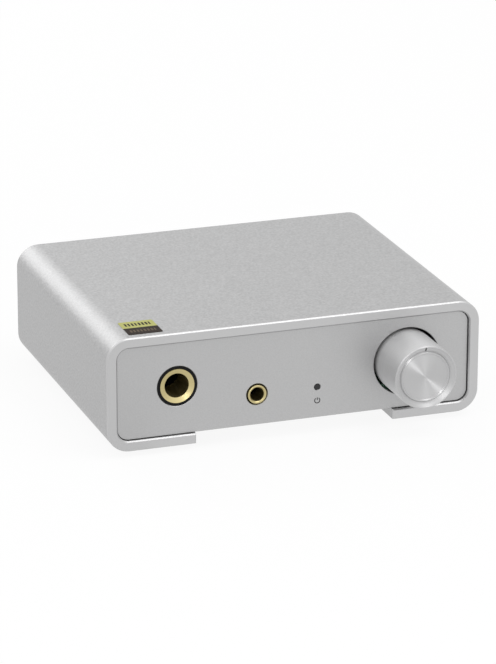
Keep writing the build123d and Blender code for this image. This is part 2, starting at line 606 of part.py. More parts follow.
# ---- Feet ----
with BuildPart() as feet:
    foot_x = (UNDERSIDE_GAP + CASE_WIDTH) / 4
    with BuildSketch(Plane.XY):
        with Locations(*[(i * foot_x, y) for i in (-1, 1)
                         for y in (CASE_FRONT + FOOT_INSET, CASE_REAR - FOOT_INSET)]):
            Circle(FOOT_RADIUS)
    extrude(amount=FOOT_HEIGHT)
    fillet(feet.edges().group_by(Axis.Z)[0], radius=FOOT_ROUNDING)
save(feet.part, "feet")

# ---- Foil label on the top ----
with BuildPart() as foil_label:
    label_x = -CASE_WIDTH / 2 + LABEL_SIDE_INSET + LABEL_WIDTH / 2
    label_y = CASE_FRONT + LABEL_FRONT_INSET + LABEL_LENGTH / 2
    with BuildSketch(Plane.XY.offset(CASE_TOP)):
        with Locations((label_x, label_y)):
            RectangleRounded(LABEL_WIDTH, LABEL_LENGTH, LABEL_RADIUS)
    extrude(amount=LABEL_THICKNESS)
save(foil_label.part, "foil_label")

# ---- Screws ----
with BuildPart() as rear_panel_screws:
    with Locations(*[Location((x, REAR_FACE, CASE_MIDDLE + z), (-90, 0, 0)) for x, z in CHANNEL_CENTRES]):
        add(CASE_SCREW)
save(rear_panel_screws.part, "rear_panel_screws")

with BuildPart() as chassis_screws:
    with Locations(*[Location((x, y, FLANGE_TOP), (180, 0, 0)) for x, y in LUGS_AT]):
        add(PLATE_SCREW)
save(chassis_screws.part, "chassis_screws")

with BuildPart() as board_screws:
    with Locations(*[(x, y, BOARD_TOP) for x, y in STANDOFFS_AT]):
        add(BOARD_SCREW)
save(board_screws.part, "board_screws")

# ---- Standoffs: pressed into the bottom plate ----
with BuildPart() as board_standoffs:
    with BuildSketch(Plane.XY.offset(FLANGE_TOP)):
        with Locations(*STANDOFFS_AT):
            Circle(STANDOFF_SHANK_RADIUS)
    extrude(amount=PLATE_THICKNESS)
    with BuildSketch(Plane.XY.offset(PLATE_TOP)):
        with Locations(*STANDOFFS_AT):
            Circle(STANDOFF_RADIUS)
    extrude(amount=STANDOFF_HEIGHT)
    with BuildSketch(Plane.XY.offset(FLANGE_TOP)):
        with Locations(*STANDOFFS_AT):
            Circle(TAPPED_RADIUS)
    extrude(amount=PLATE_THICKNESS + STANDOFF_HEIGHT, mode=Mode.SUBTRACT)
save(board_standoffs.part, "board_standoffs")

# ---- 6.35 mm jack ----
big_tip_y = BIG_JACK_BACK - BIG_TIP_DIMPLE_DEPTH
big_ring_y = BIG_JACK_BACK - BIG_RING_DIMPLE_DEPTH
big_tip_pin_y = BIG_JACK_BACK - BIG_TIP_PIN_DEPTH
big_ring_pin_y = BIG_JACK_BACK - BIG_JACK_BACK_WALL / 2
big_dimple = BIG_JACK_BORE_RADIUS + CONTACT_THICKNESS / 2
big_leaf = BIG_JACK_AXIS_HEIGHT - BIG_SPRING_INSET
big_pin_foot = PIN_BOTTOM - BIG_JACK_Z
with BuildPart() as big_jack_contacts:
    with BuildSketch(lengthwise(BIG_JACK_X, BIG_JACK_Z)):
        with BuildLine():
            Polyline((big_tip_pin_y, big_pin_foot), (big_tip_pin_y, -big_leaf),
                     (big_tip_y + BIG_SPRING_BEND, BIG_SPRING_SLOPE - big_leaf),
                     (big_tip_y, -big_dimple),
                     (big_tip_y - BIG_SPRING_TAIL, -big_dimple - BIG_SPRING_LIFT))
        trace(line_width=CONTACT_THICKNESS)
        with BuildLine():
            Polyline((big_ring_pin_y, big_pin_foot), (big_ring_pin_y, big_leaf),
                     (big_ring_y + BIG_SPRING_BEND, big_leaf - BIG_SPRING_SLOPE),
                     (big_ring_y, big_dimple),
                     (big_ring_y - BIG_SPRING_TAIL, big_dimple + BIG_SPRING_LIFT))
        trace(line_width=CONTACT_THICKNESS)
    extrude(amount=CONTACT_WIDTH / 2, both=True)
save(big_jack_contacts.part, "jack_6_35_contacts")

with BuildPart() as big_jack_housing:
    box_height = max(BIG_JACK_BOX_HEIGHT, BIG_JACK_AXIS_HEIGHT + BIG_JACK_COLLAR_RADIUS)
    block(around(BIG_JACK_X, BIG_JACK_BOX_WIDTH), (BOX_FRONT, BIG_JACK_BACK),
          (BOARD_TOP, BOARD_TOP + box_height))
    rim_front = PANEL_FRONT + BIG_JACK_COLLAR_RECESS
    rim_seat = PANEL_FRONT + BIG_JACK_RIM_LENGTH
    tube_end = PANEL_FRONT + BIG_JACK_TUBE_LENGTH
    disc(BIG_JACK_X, BIG_JACK_Z, rim_front, BOX_FRONT, BIG_JACK_COLLAR_RADIUS)
    turn([(rim_front, 0), (rim_front, BIG_JACK_RIM_RADIUS + FERRULE_FIT),
          (rim_seat, BIG_JACK_RIM_RADIUS + FERRULE_FIT),
          (rim_seat, BIG_JACK_TUBE_RADIUS + FERRULE_FIT),
          (tube_end + FERRULE_FIT, BIG_JACK_TUBE_RADIUS + FERRULE_FIT),
          (tube_end + FERRULE_FIT, BIG_JACK_INNER_RADIUS),
          (BIG_JACK_BACK - BIG_JACK_BACK_WALL, BIG_JACK_INNER_RADIUS),
          (BIG_JACK_BACK - BIG_JACK_BACK_WALL, 0)], BIG_JACK_X, BIG_JACK_Z, Mode.SUBTRACT)
    slot_x = around(BIG_JACK_X, CONTACT_WIDTH + 2 * CONTACT_GAP)
    leaf_out = big_leaf + CONTACT_THICKNESS / 2 + CONTACT_GAP
    pin_half = CONTACT_THICKNESS / 2 + CONTACT_GAP
    block(slot_x, (tube_end + BIG_SLOT_START, big_tip_pin_y + pin_half),
          (BIG_JACK_Z - leaf_out, BIG_JACK_Z), Mode.SUBTRACT)
    block(slot_x, (big_tip_pin_y - pin_half, big_tip_pin_y + pin_half),
          (BOARD_TOP, BIG_JACK_Z), Mode.SUBTRACT)
    block(slot_x, (tube_end + BIG_SLOT_START, big_ring_pin_y + pin_half),
          (BIG_JACK_Z, BIG_JACK_Z + leaf_out), Mode.SUBTRACT)
    block(slot_x, (big_ring_pin_y - pin_half, big_ring_pin_y + pin_half),
          (BOARD_TOP, BIG_JACK_Z + leaf_out), Mode.SUBTRACT)
save(big_jack_housing.part, "jack_6_35_housing")

with BuildPart() as big_jack_ferrule:
    cone_edge = BIG_JACK_RIM_RADIUS - BIG_JACK_RIM_LAND
    cone_end = PANEL_FRONT + BIG_JACK_CONE_DEPTH
    turn([(PANEL_FRONT, BIG_JACK_RIM_RADIUS), (rim_seat, BIG_JACK_RIM_RADIUS),
          (rim_seat, BIG_JACK_TUBE_RADIUS), (tube_end, BIG_JACK_TUBE_RADIUS),
          (tube_end, BIG_JACK_BORE_RADIUS), (cone_end, BIG_JACK_BORE_RADIUS),
          (PANEL_FRONT, cone_edge)], BIG_JACK_X, BIG_JACK_Z)
save(big_jack_ferrule.part, "jack_6_35_ferrule")

# ---- 3.5 mm jack ----
small_leaf_x = SMALL_JACK_BOX_WIDTH / 2 - SMALL_SPRING_INSET
small_dimple = SMALL_JACK_BORE_RADIUS + SMALL_CONTACT_THICKNESS / 2
small_pin_y = SMALL_JACK_BACK - SMALL_PIN_DEPTH
small_tip_y = small_pin_y - SMALL_SPRING_REACH
spigot_end = BOX_FRONT + SMALL_JACK_SPIGOT_LENGTH
with BuildPart() as small_jack_contacts:
    with BuildSketch(Plane.XY.offset(SMALL_JACK_Z)):
        for side in (-1, 1):
            with BuildLine():
                Polyline((SMALL_JACK_X + side * small_leaf_x, small_pin_y),
                         (SMALL_JACK_X + side * small_leaf_x, small_pin_y - SMALL_SPRING_STRAIGHT),
                         (SMALL_JACK_X + side * small_dimple, small_tip_y),
                         (SMALL_JACK_X + side * (small_dimple + SMALL_SPRING_LIFT),
                          small_tip_y - SMALL_SPRING_TAIL))
            trace(line_width=SMALL_CONTACT_THICKNESS)
    extrude(amount=SMALL_CONTACT_WIDTH / 2, both=True)
    for side in (-1, 1):
        block(around(SMALL_JACK_X + side * small_leaf_x, SMALL_CONTACT_THICKNESS),
              around(small_pin_y, SMALL_PIN_WIDTH), (PIN_BOTTOM, SMALL_JACK_Z))
save(small_jack_contacts.part, "jack_3_5_contacts")

with BuildPart() as small_jack_housing:
    block(around(SMALL_JACK_X, SMALL_JACK_BOX_WIDTH), (BOX_FRONT, SMALL_JACK_BACK),
          (BOARD_TOP, BOARD_TOP + SMALL_JACK_BOX_HEIGHT))
    turn([(BOX_FRONT, 0), (BOX_FRONT, SMALL_JACK_SPIGOT_RADIUS + FERRULE_FIT),
          (spigot_end + FERRULE_FIT, SMALL_JACK_SPIGOT_RADIUS + FERRULE_FIT),
          (spigot_end + FERRULE_FIT, SMALL_JACK_INNER_RADIUS),
          (SMALL_JACK_BACK - SMALL_JACK_BACK_WALL, SMALL_JACK_INNER_RADIUS),
          (SMALL_JACK_BACK - SMALL_JACK_BACK_WALL, 0)], SMALL_JACK_X, SMALL_JACK_Z, Mode.SUBTRACT)
    small_slot_out = small_leaf_x + SMALL_CONTACT_THICKNESS / 2 + SMALL_CONTACT_GAP
    slot_front = small_tip_y - SMALL_SPRING_TAIL - 2 * SMALL_CONTACT_THICKNESS
    slot_back = small_pin_y + SMALL_PIN_WIDTH / 2 + SMALL_CONTACT_GAP
    block(around(SMALL_JACK_X, 2 * small_slot_out), (slot_front, slot_back),
          around(SMALL_JACK_Z, SMALL_CONTACT_WIDTH + 2 * SMALL_CONTACT_GAP), Mode.SUBTRACT)
    for side in (-1, 1):
        block(around(SMALL_JACK_X + side * small_leaf_x, SMALL_CONTACT_THICKNESS + 2 * SMALL_CONTACT_GAP),
              around(small_pin_y, SMALL_PIN_WIDTH + 2 * SMALL_CONTACT_GAP),
              (BOARD_TOP, SMALL_JACK_Z), Mode.SUBTRACT)
save(small_jack_housing.part, "jack_3_5_housing")

with BuildPart() as small_jack_ferrule:
    nose = PANEL_FRONT - SMALL_JACK_RIM_PROUD
    disc(SMALL_JACK_X, SMALL_JACK_Z, nose, BOX_FRONT, SMALL_JACK_RIM_RADIUS)
    fillet(small_jack_ferrule.edges().sort_by(Axis.Y)[0], radius=SMALL_JACK_RIM_ROUNDING)
    disc(SMALL_JACK_X, SMALL_JACK_Z, BOX_FRONT, spigot_end, SMALL_JACK_SPIGOT_RADIUS)
    disc(SMALL_JACK_X, SMALL_JACK_Z, nose, spigot_end, SMALL_JACK_BORE_RADIUS, Mode.SUBTRACT)
    bore_rim = small_jack_ferrule.edges().filter_by(GeomType.CIRCLE).sort_by(Axis.Y)
    chamfer(bore_rim.filter_by(lambda edge: edge.radius == SMALL_JACK_BORE_RADIUS)[0],
            length=SMALL_JACK_RIM_ROUNDING)
save(small_jack_ferrule.part, "jack_3_5_ferrule")

# ---- Status light: a chip LED under a light pipe ----
light_foot_y = (PANEL_BACK + LIGHT_FOOT_SETBACK, PANEL_BACK + LIGHT_FOOT_SETBACK + LIGHT_FOOT_DEPTH)
led_y = (light_foot_y[0] + light_foot_y[1]) / 2
with BuildPart() as light_pipe:
    disc(LIGHT_X, LIGHT_Z, PANEL_FRONT, light_foot_y[1], LIGHT_PIPE_RADIUS)
    block(around(LIGHT_X, LIGHT_FOOT_WIDTH), light_foot_y, (BOARD_TOP, LIGHT_Z + LIGHT_PIPE_RADIUS))
    block(around(LIGHT_X, LED_WIDTH + 2 * LED_GAP), light_foot_y,
          (BOARD_TOP, BOARD_TOP + LED_HEIGHT + LED_GAP), Mode.SUBTRACT)
save(light_pipe.part, "light_pipe")

with BuildPart() as led:
    block(around(LIGHT_X, LED_WIDTH), around(led_y, LED_DEPTH), (BOARD_TOP, BOARD_TOP + LED_HEIGHT))
save(led.part, "led")

# ---- Knob ----
inlay_floor = KNOB_FRONT + INLAY_POCKET_DEPTH
web_back = KNOB_FRONT + KNOB_WEB_DEPTH
shaft_stop = KNOB_FRONT + KNOB_SHAFT_STOP
rim_outer = KNOB_RADIUS - KNOB_RIM_CHAMFER
rim_inner = rim_outer - KNOB_RIM_WIDTH
dish_end = KNOB_FRONT + DISH_DEPTH
pocket_radius = INLAY_RADIUS + INLAY_FIT
set_screw_y = KNOB_FRONT + SET_SCREW_DEPTH
flat_z = SHAFT_RADIUS - SHAFT_FLAT
set_screw_top = KNOB_Z - flat_z - SHAFT_FIT
pointer_top = KNOB_Z + rim_inner - POINTER_RIM_SETBACK

with BuildPart() as knob_body:
    with BuildSketch(lengthwise(KNOB_X, KNOB_Z)):
        with BuildLine():
            Polyline((inlay_floor, 0), (inlay_floor, pocket_radius), (dish_end, pocket_radius))
            ThreePointArc((dish_end, pocket_radius),
                          ((dish_end + KNOB_FRONT) / 2 + DISH_SAG,
                           (pocket_radius + rim_inner) / 2 - DISH_SAG),
                          (KNOB_FRONT, rim_inner))
            Polyline((KNOB_FRONT, rim_inner), (KNOB_FRONT, rim_outer),
                     (KNOB_FRONT + KNOB_RIM_CHAMFER, KNOB_RADIUS), (KNOB_BACK, KNOB_RADIUS),
                     (KNOB_BACK, KNOB_RADIUS - KNOB_SKIRT_WALL),
                     (web_back, KNOB_RADIUS - KNOB_SKIRT_WALL), (web_back, KNOB_HUB_RADIUS),
                     (HUB_BACK, KNOB_HUB_RADIUS), (HUB_BACK, 0), (inlay_floor, 0))
        make_face()
    revolve(axis=Axis((KNOB_X, 0, KNOB_Z), (0, 1, 0)))
    with BuildSketch(facing(HUB_BACK, KNOB_X, KNOB_Z)):
        Circle(SHAFT_RADIUS + SHAFT_FIT)
        with Locations((0, -flat_z - SHAFT_FIT)):
            Rectangle(4 * SHAFT_RADIUS, 4 * SHAFT_RADIUS, align=(Align.CENTER, Align.MAX),
                      mode=Mode.SUBTRACT)
    extrude(amount=HUB_BACK - shaft_stop, mode=Mode.SUBTRACT)
    with BuildSketch(Plane(origin=(KNOB_X, set_screw_y, KNOB_Z - KNOB_RADIUS), z_dir=(0, 0, 1))):
        Circle(SET_SCREW_RADIUS + SCREW_FIT)
    extrude(amount=KNOB_RADIUS - flat_z, mode=Mode.SUBTRACT)
    block(around(KNOB_X, POINTER_WIDTH), (KNOB_FRONT, KNOB_FRONT + DISH_DEPTH + POINTER_DEPTH),
          (pointer_top - POINTER_LENGTH, pointer_top), Mode.SUBTRACT)
save(knob_body.part, "knob_body")

with BuildPart() as knob_inlay:
    inlay_face = KNOB_FRONT + INLAY_FACE_DEPTH
    ridge_inner = INLAY_RADIUS - INLAY_RIDGE_WIDTH
    with BuildSketch(lengthwise(KNOB_X, KNOB_Z)):
        with BuildLine():
            ThreePointArc((inlay_face, ridge_inner),
                          (inlay_face - INLAY_RIDGE_HEIGHT, INLAY_RADIUS - INLAY_RIDGE_WIDTH / 2),
                          (dish_end, INLAY_RADIUS))
            Polyline((dish_end, INLAY_RADIUS), (inlay_floor, INLAY_RADIUS), (inlay_floor, 0),
                     (inlay_face, 0), (inlay_face, ridge_inner))
        make_face()
    revolve(axis=Axis((KNOB_X, 0, KNOB_Z), (0, 1, 0)))
save(knob_inlay.part, "knob_inlay")

with BuildPart() as knob_pointer:
    block(around(KNOB_X, POINTER_WIDTH - 2 * INLAY_FIT),
          (KNOB_FRONT + DISH_DEPTH, KNOB_FRONT + DISH_DEPTH + POINTER_DEPTH),
          (pointer_top - POINTER_LENGTH + INLAY_FIT, pointer_top - INLAY_FIT))
save(knob_pointer.part, "knob_pointer")

with BuildPart() as knob_set_screw:
    with BuildSketch(Plane.XY.offset(set_screw_top - SET_SCREW_LENGTH)):
        with Locations((KNOB_X, set_screw_y)):
            Circle(SET_SCREW_RADIUS)
    extrude(amount=SET_SCREW_LENGTH)
    with BuildSketch(Plane.XY.offset(set_screw_top - SET_SCREW_LENGTH)):
        with Locations((KNOB_X, set_screw_y)):
            RegularPolygon(SET_SCREW_HEX_RADIUS, 6)
    extrude(amount=SET_SCREW_HEX_DEPTH, mode=Mode.SUBTRACT)
save(knob_set_screw.part, "knob_set_screw")

# ---- Volume control ----
tail_back = POT_BACK - POT_REAR_WALL - ROTOR_GAP
gang_fronts = [POT_CAVITY_FRONT + ROTOR_GAP + i * GANG_PITCH for i in range(GANGS)]
with BuildPart() as pot_shaft:
    disc(KNOB_X, KNOB_Z, shaft_stop + SHAFT_END_GAP, POT_CAVITY_FRONT, SHAFT_RADIUS)
    disc(KNOB_X, KNOB_Z, POT_CAVITY_FRONT, tail_back, SHAFT_TAIL_RADIUS)
    block(around(KNOB_X, 4 * SHAFT_RADIUS), (shaft_stop, HUB_BACK),
          (KNOB_Z - 2 * SHAFT_RADIUS, KNOB_Z - flat_z), Mode.SUBTRACT)
save(pot_shaft.part, "pot_shaft")

with BuildPart() as pot_rotors:
    for front in gang_fronts:
        disc(KNOB_X, KNOB_Z, front, front + ROTOR_THICKNESS, ROTOR_RADIUS)
        disc(KNOB_X, KNOB_Z, front, front + ROTOR_THICKNESS, SHAFT_TAIL_RADIUS + SHAFT_FIT, Mode.SUBTRACT)
save(pot_rotors.part, "pot_rotors")

with BuildPart() as pot_wafers:
    for front in gang_fronts:
        wafer_front = front + ROTOR_THICKNESS + ROTOR_GAP
        disc(KNOB_X, KNOB_Z, wafer_front, wafer_front + WAFER_THICKNESS, POT_CAVITY_RADIUS - SHAFT_FIT)
        disc(KNOB_X, KNOB_Z, wafer_front, wafer_front + WAFER_THICKNESS, WAFER_BORE_RADIUS, Mode.SUBTRACT)
save(pot_wafers.part, "pot_wafers")

with BuildPart() as pot_bushing:
    disc(KNOB_X, KNOB_Z, BUSHING_FRONT, POT_FRONT, BUSHING_RADIUS)
    disc(KNOB_X, KNOB_Z, BUSHING_FRONT, POT_FRONT, SHAFT_RADIUS + SHAFT_RUNNING_GAP, Mode.SUBTRACT)
save(pot_bushing.part, "pot_bushing")

with BuildPart() as pot_body:
    block(around(KNOB_X, POT_WIDTH), (POT_FRONT, POT_BACK), (BOARD_TOP, KNOB_Z + POT_TOP_RISE))
    disc(KNOB_X, KNOB_Z, POT_FRONT, POT_CAVITY_FRONT, SHAFT_RADIUS + POT_WALL_HOLE_GAP, Mode.SUBTRACT)
    disc(KNOB_X, KNOB_Z, POT_CAVITY_FRONT, POT_BACK - POT_REAR_WALL, POT_CAVITY_RADIUS, Mode.SUBTRACT)
save(pot_body.part, "pot_body")

with BuildPart() as pot_power_switch:
    block(around(KNOB_X, POT_WIDTH), (POT_BACK, POT_BACK + POWER_SWITCH_DEPTH),
          (BOARD_TOP, KNOB_Z + POWER_SWITCH_TOP_RISE))
save(pot_power_switch.part, "pot_power_switch")

pot_pins_at = [(KNOB_X + i * POT_PIN_PITCH, y) for i in (-1, 0, 1)
               for y in (POT_FRONT + POT_DEPTH / 4, POT_FRONT + POT_DEPTH * 3 / 4)]
pot_pins_at += [(KNOB_X + i * POT_PIN_PITCH, POT_BACK + POWER_SWITCH_DEPTH / 2) for i in (-1, 1)]
with BuildPart() as pot_terminals:
    with BuildSketch(Plane.XY.offset(PIN_BOTTOM)):
        with Locations(*pot_pins_at):
            Rectangle(POT_PIN_SIZE, POT_PIN_SIZE)
    extrude(amount=BOARD_TOP - PIN_BOTTOM)
save(pot_terminals.part, "pot_terminals")

# ---- Line outputs ----
with BuildPart() as line_bodies:
    for x in LINES_X:
        block(around(x, LINE_BODY_WIDTH), (LINE_BODY_BACK - LINE_BODY_DEPTH, LINE_BODY_BACK),
              (BOARD_TOP, LINE_Z + LINE_BODY_TOP_RISE))
        turn([(LINE_BODY_BACK, 0), (LINE_BODY_BACK, LINE_NECK_RADIUS + FERRULE_FIT),
              (LINE_SEAT, LINE_NECK_RADIUS + FERRULE_FIT), (LINE_SEAT, LINE_TAIL_RADIUS + PIN_FIT),
              (LINE_SEAT - LINE_TAIL_LENGTH, LINE_TAIL_RADIUS + PIN_FIT),
              (LINE_SEAT - LINE_TAIL_LENGTH, 0)], x, LINE_Z, Mode.SUBTRACT)
save(line_bodies.part, "line_out_bodies")

with BuildPart() as line_shells:
    for x in LINES_X:
        turn([(LINE_SEAT, LINE_SHELL_RADIUS - LINE_SHELL_WALL), (LINE_SEAT, LINE_NECK_RADIUS),
              (LINE_NECK_END, LINE_NECK_RADIUS), (LINE_NECK_END, LINE_SHELL_RADIUS),
              (LINE_END - LINE_SHELL_CHAMFER, LINE_SHELL_RADIUS),
              (LINE_END, LINE_SHELL_RADIUS - LINE_SHELL_CHAMFER),
              (LINE_END, LINE_SHELL_RADIUS - LINE_SHELL_WALL)], x, LINE_Z)
save(line_shells.part, "line_out_shells")

for x, side in zip(LINES_X, ("right", "left")):
    with BuildPart() as line_insulator:
        turn([(LINE_SEAT, LINE_CONTACT_RADIUS + LINE_INSULATOR_FIT), (LINE_SEAT, LINE_INSULATOR_RADIUS),
              (LINE_FACE, LINE_INSULATOR_RADIUS), (LINE_FACE, LINE_BORE_RADIUS),
              (LINE_FACE - LINE_INSULATOR_LIP, LINE_BORE_RADIUS),
              (LINE_FACE - LINE_INSULATOR_LIP, LINE_CONTACT_RADIUS + LINE_INSULATOR_FIT)], x, LINE_Z)
    save(line_insulator.part, "line_out_insulator_" + side)

with BuildPart() as line_contacts:
    for x in LINES_X:
        turn([(LINE_SEAT - LINE_TAIL_LENGTH, 0), (LINE_SEAT - LINE_TAIL_LENGTH, LINE_TAIL_RADIUS),
              (LINE_SEAT, LINE_TAIL_RADIUS), (LINE_SEAT, LINE_CONTACT_RADIUS),
              (LINE_FACE - LINE_INSULATOR_LIP, LINE_CONTACT_RADIUS),
              (LINE_FACE - LINE_INSULATOR_LIP, LINE_BORE_RADIUS),
              (LINE_SEAT + LINE_CONTACT_WALL, LINE_BORE_RADIUS), (LINE_SEAT + LINE_CONTACT_WALL, 0)],
             x, LINE_Z)
save(line_contacts.part, "line_out_contacts")

line_pin_y = LINE_BODY_BACK - LINE_BODY_DEPTH / 2
line_pins_at = [(x + i * LINE_PIN_PITCH / 2, line_pin_y) for x in LINES_X for i in (-1, 1)]
with BuildPart() as line_terminals:
    with BuildSketch(Plane.XY.offset(PIN_BOTTOM)):
        with Locations(*line_pins_at):
            Rectangle(LINE_PIN_WIDTH, LINE_PIN_WIDTH)
    extrude(amount=BOARD_TOP - PIN_BOTTOM)
save(line_terminals.part, "line_out_terminals")

# ---- USB-C socket ----
usb_inner_width = USB_WIDTH - 2 * USB_WALL
usb_inner_height = USB_HEIGHT - 2 * USB_WALL
with BuildPart() as usb_shell:
    with BuildSketch(facing(USB_FRONT, USB_X, USB_Z)):
        SlotOverall(USB_WIDTH, USB_HEIGHT)
        SlotOverall(usb_inner_width, usb_inner_height, mode=Mode.SUBTRACT)
    extrude(amount=-USB_DEPTH)
save(usb_shell.part, "usb_c_shell")

with BuildPart() as usb_tongue:
    with BuildSketch(facing(USB_FRONT, USB_X, USB_Z)):
        SlotOverall(usb_inner_width - 2 * USB_BLOCK_FIT, usb_inner_height - 2 * USB_BLOCK_FIT)
    extrude(amount=-USB_BLOCK_DEPTH)
    with BuildSketch(facing(USB_FRONT + USB_BLOCK_DEPTH, USB_X, USB_Z)):
        Rectangle(USB_TONGUE_WIDTH, USB_TONGUE_THICKNESS)
    extrude(amount=USB_TONGUE_SETBACK + USB_BLOCK_DEPTH - USB_DEPTH)
save(usb_tongue.part, "usb_c_tongue")

with BuildPart() as usb_pads:
    pad_y = around(USB_FRONT + USB_BLOCK_DEPTH + USB_PAD_LENGTH / 2, USB_PAD_LENGTH)
    for i in range(USB_PADS):
        pad_x = around(USB_X + (i - (USB_PADS - 1) / 2) * USB_PAD_PITCH, USB_PAD_WIDTH)
        for side in (-1, 1):
            pad_middle = USB_Z + side * (USB_TONGUE_THICKNESS + USB_PAD_THICKNESS) / 2
            block(pad_x, pad_y, around(pad_middle, USB_PAD_THICKNESS))
save(usb_pads.part, "usb_c_contacts")

# ---- Gain switch ----
gain_cavity_width = GAIN_BLOCK_WIDTH + GAIN_TRAVEL + 2 * GAIN_SLIDE_GAP
gain_cavity_height = GAIN_BLOCK_HEIGHT + 2 * GAIN_SLIDE_GAP
gain_back = REAR_INNER - LINE_BODY_PANEL_GAP
gain_lip_front = gain_back - GAIN_LIP
gain_cavity_front = gain_lip_front - GAIN_BLOCK_DEPTH - 2 * GAIN_SLIDE_GAP
with BuildPart() as gain_housing:
    block(around(GAIN_X, gain_cavity_width + 2 * GAIN_HOUSING_WALL),
          (gain_back - GAIN_HOUSING_DEPTH, gain_back),
          (BOARD_TOP, GAIN_Z + gain_cavity_height / 2 + GAIN_HOUSING_WALL))
    block(around(GAIN_X, gain_cavity_width), (gain_cavity_front, gain_lip_front),
          around(GAIN_Z, gain_cavity_height), Mode.SUBTRACT)
    block(around(GAIN_X, GAIN_LEVER_WIDTH + GAIN_TRAVEL + 2 * GAIN_SLIDE_GAP),
          (gain_lip_front, gain_back), around(GAIN_Z, GAIN_LEVER_HEIGHT + 2 * GAIN_SLIDE_GAP),
          Mode.SUBTRACT)
save(gain_housing.part, "gain_switch_housing")

with BuildPart() as gain_slider:
    block(around(GAIN_REST_X, GAIN_BLOCK_WIDTH),
          (gain_cavity_front + GAIN_SLIDE_GAP, gain_lip_front - GAIN_SLIDE_GAP),
          around(GAIN_Z, GAIN_BLOCK_HEIGHT))
    block(around(GAIN_REST_X, GAIN_LEVER_WIDTH),
          (gain_lip_front - GAIN_SLIDE_GAP, REAR_FACE + GAIN_LEVER_PROUD),
          around(GAIN_Z, GAIN_LEVER_HEIGHT))
save(gain_slider.part, "gain_slider")

gain_pin_y = gain_back - GAIN_HOUSING_DEPTH / 2
gain_pins_at = [(GAIN_X + i * GAIN_PIN_PITCH, gain_pin_y) for i in (-1, 0, 1)]
with BuildPart() as gain_terminals:
    with BuildSketch(Plane.XY.offset(PIN_BOTTOM)):
        with Locations(*gain_pins_at):
            Rectangle(GAIN_PIN_SIZE, GAIN_PIN_SIZE)
    extrude(amount=BOARD_TOP - PIN_BOTTOM)
save(gain_terminals.part, "gain_switch_terminals")

# ---- Main board ----
with BuildPart() as main_board:
    with BuildSketch(Plane.XY.offset(BOARD_BOTTOM)):
        with Locations((0, BOARD_MIDDLE)):
            RectangleRounded(BOARD_WIDTH, BOARD_REAR - BOARD_FRONT, BOARD_CORNER_RADIUS)
        with Locations(*STANDOFFS_AT):
            Circle(PASSING_RADIUS, mode=Mode.SUBTRACT)
        with Locations(*pot_pins_at):
            Rectangle(POT_PIN_SIZE + PIN_FIT, POT_PIN_SIZE + PIN_FIT, mode=Mode.SUBTRACT)
        with Locations(*line_pins_at):
            Rectangle(LINE_PIN_WIDTH + PIN_FIT, LINE_PIN_WIDTH + PIN_FIT, mode=Mode.SUBTRACT)
        with Locations(*gain_pins_at):
            Rectangle(GAIN_PIN_SIZE + PIN_FIT, GAIN_PIN_SIZE + PIN_FIT, mode=Mode.SUBTRACT)
        with Locations((BIG_JACK_X, big_tip_pin_y), (BIG_JACK_X, big_ring_pin_y)):
            Rectangle(CONTACT_WIDTH + PIN_FIT, CONTACT_THICKNESS + PIN_FIT, mode=Mode.SUBTRACT)
        with Locations(*[(SMALL_JACK_X + side * small_leaf_x, small_pin_y) for side in (-1, 1)]):
            Rectangle(SMALL_CONTACT_THICKNESS + PIN_FIT, SMALL_PIN_WIDTH + PIN_FIT, mode=Mode.SUBTRACT)
    extrude(amount=BOARD_THICKNESS)
save(main_board.part, "main_board")

# ---- Parts soldered on the board ----
groups = {
    "usb_bridge_chip": (chip(**BRIDGE_CHIP), [BRIDGE_AT]),
    "converter_chip": (chip(**CONVERTER_CHIP), [CONVERTER_AT]),
    "opamp_chips": (chip(**OPAMP_CHIP), OPAMPS_AT),
    "regulator_chips": (chip(**REGULATOR_CHIP), REGULATORS_AT),
    "clock_oscillators": (cased_part(*OSCILLATOR_SIZE), OSCILLATORS_AT),
    "electrolytic_capacitors": (can_capacitor(), CANS_AT),
    "film_capacitors": (cased_part(*FILM_CAP_SIZE), FILM_CAPS_AT),
    "power_inductors": (cased_part(*INDUCTOR_SIZE), INDUCTORS_AT),
    "output_relay": (cased_part(*RELAY_SIZE), [RELAY_AT]),
}
for name, (component, places) in groups.items():
    with BuildPart() as group:
        with Locations(*[(*on_board(place), BOARD_TOP) for place in places]):
            add(component)
    save(group.part, name)

chip_rows = {
    "ceramic_capacitors": (CHIP_CAP_SIZE, CHIP_CAP_GRID, CHIP_CAPS_AT),
    "chip_resistors": (CHIP_RESISTOR_SIZE, CHIP_RESISTOR_GRID, CHIP_RESISTORS_AT),
}
for name, (size, grid, places) in chip_rows.items():
    with BuildPart() as group:
        with BuildSketch(Plane.XY.offset(BOARD_TOP)):
            with Locations(*[on_board(place) for place in places]):
                with GridLocations(*grid, *CHIP_GRID_COUNTS):
                    Rectangle(*size[:2])
        extrude(amount=size[2])
    save(group.part, name)
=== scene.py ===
# Looks for a small desktop converter and headphone amplifier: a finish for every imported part,
# the spun face of the knob, the printed power sign and a plain studio.
# Everything is in metres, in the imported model's own frame.
import json
import math

import bpy
from bpy.props import FloatProperty, FloatVectorProperty, IntProperty, PointerProperty
from bpy.types import Operator, Panel, PropertyGroup
from mathutils import Matrix, Vector


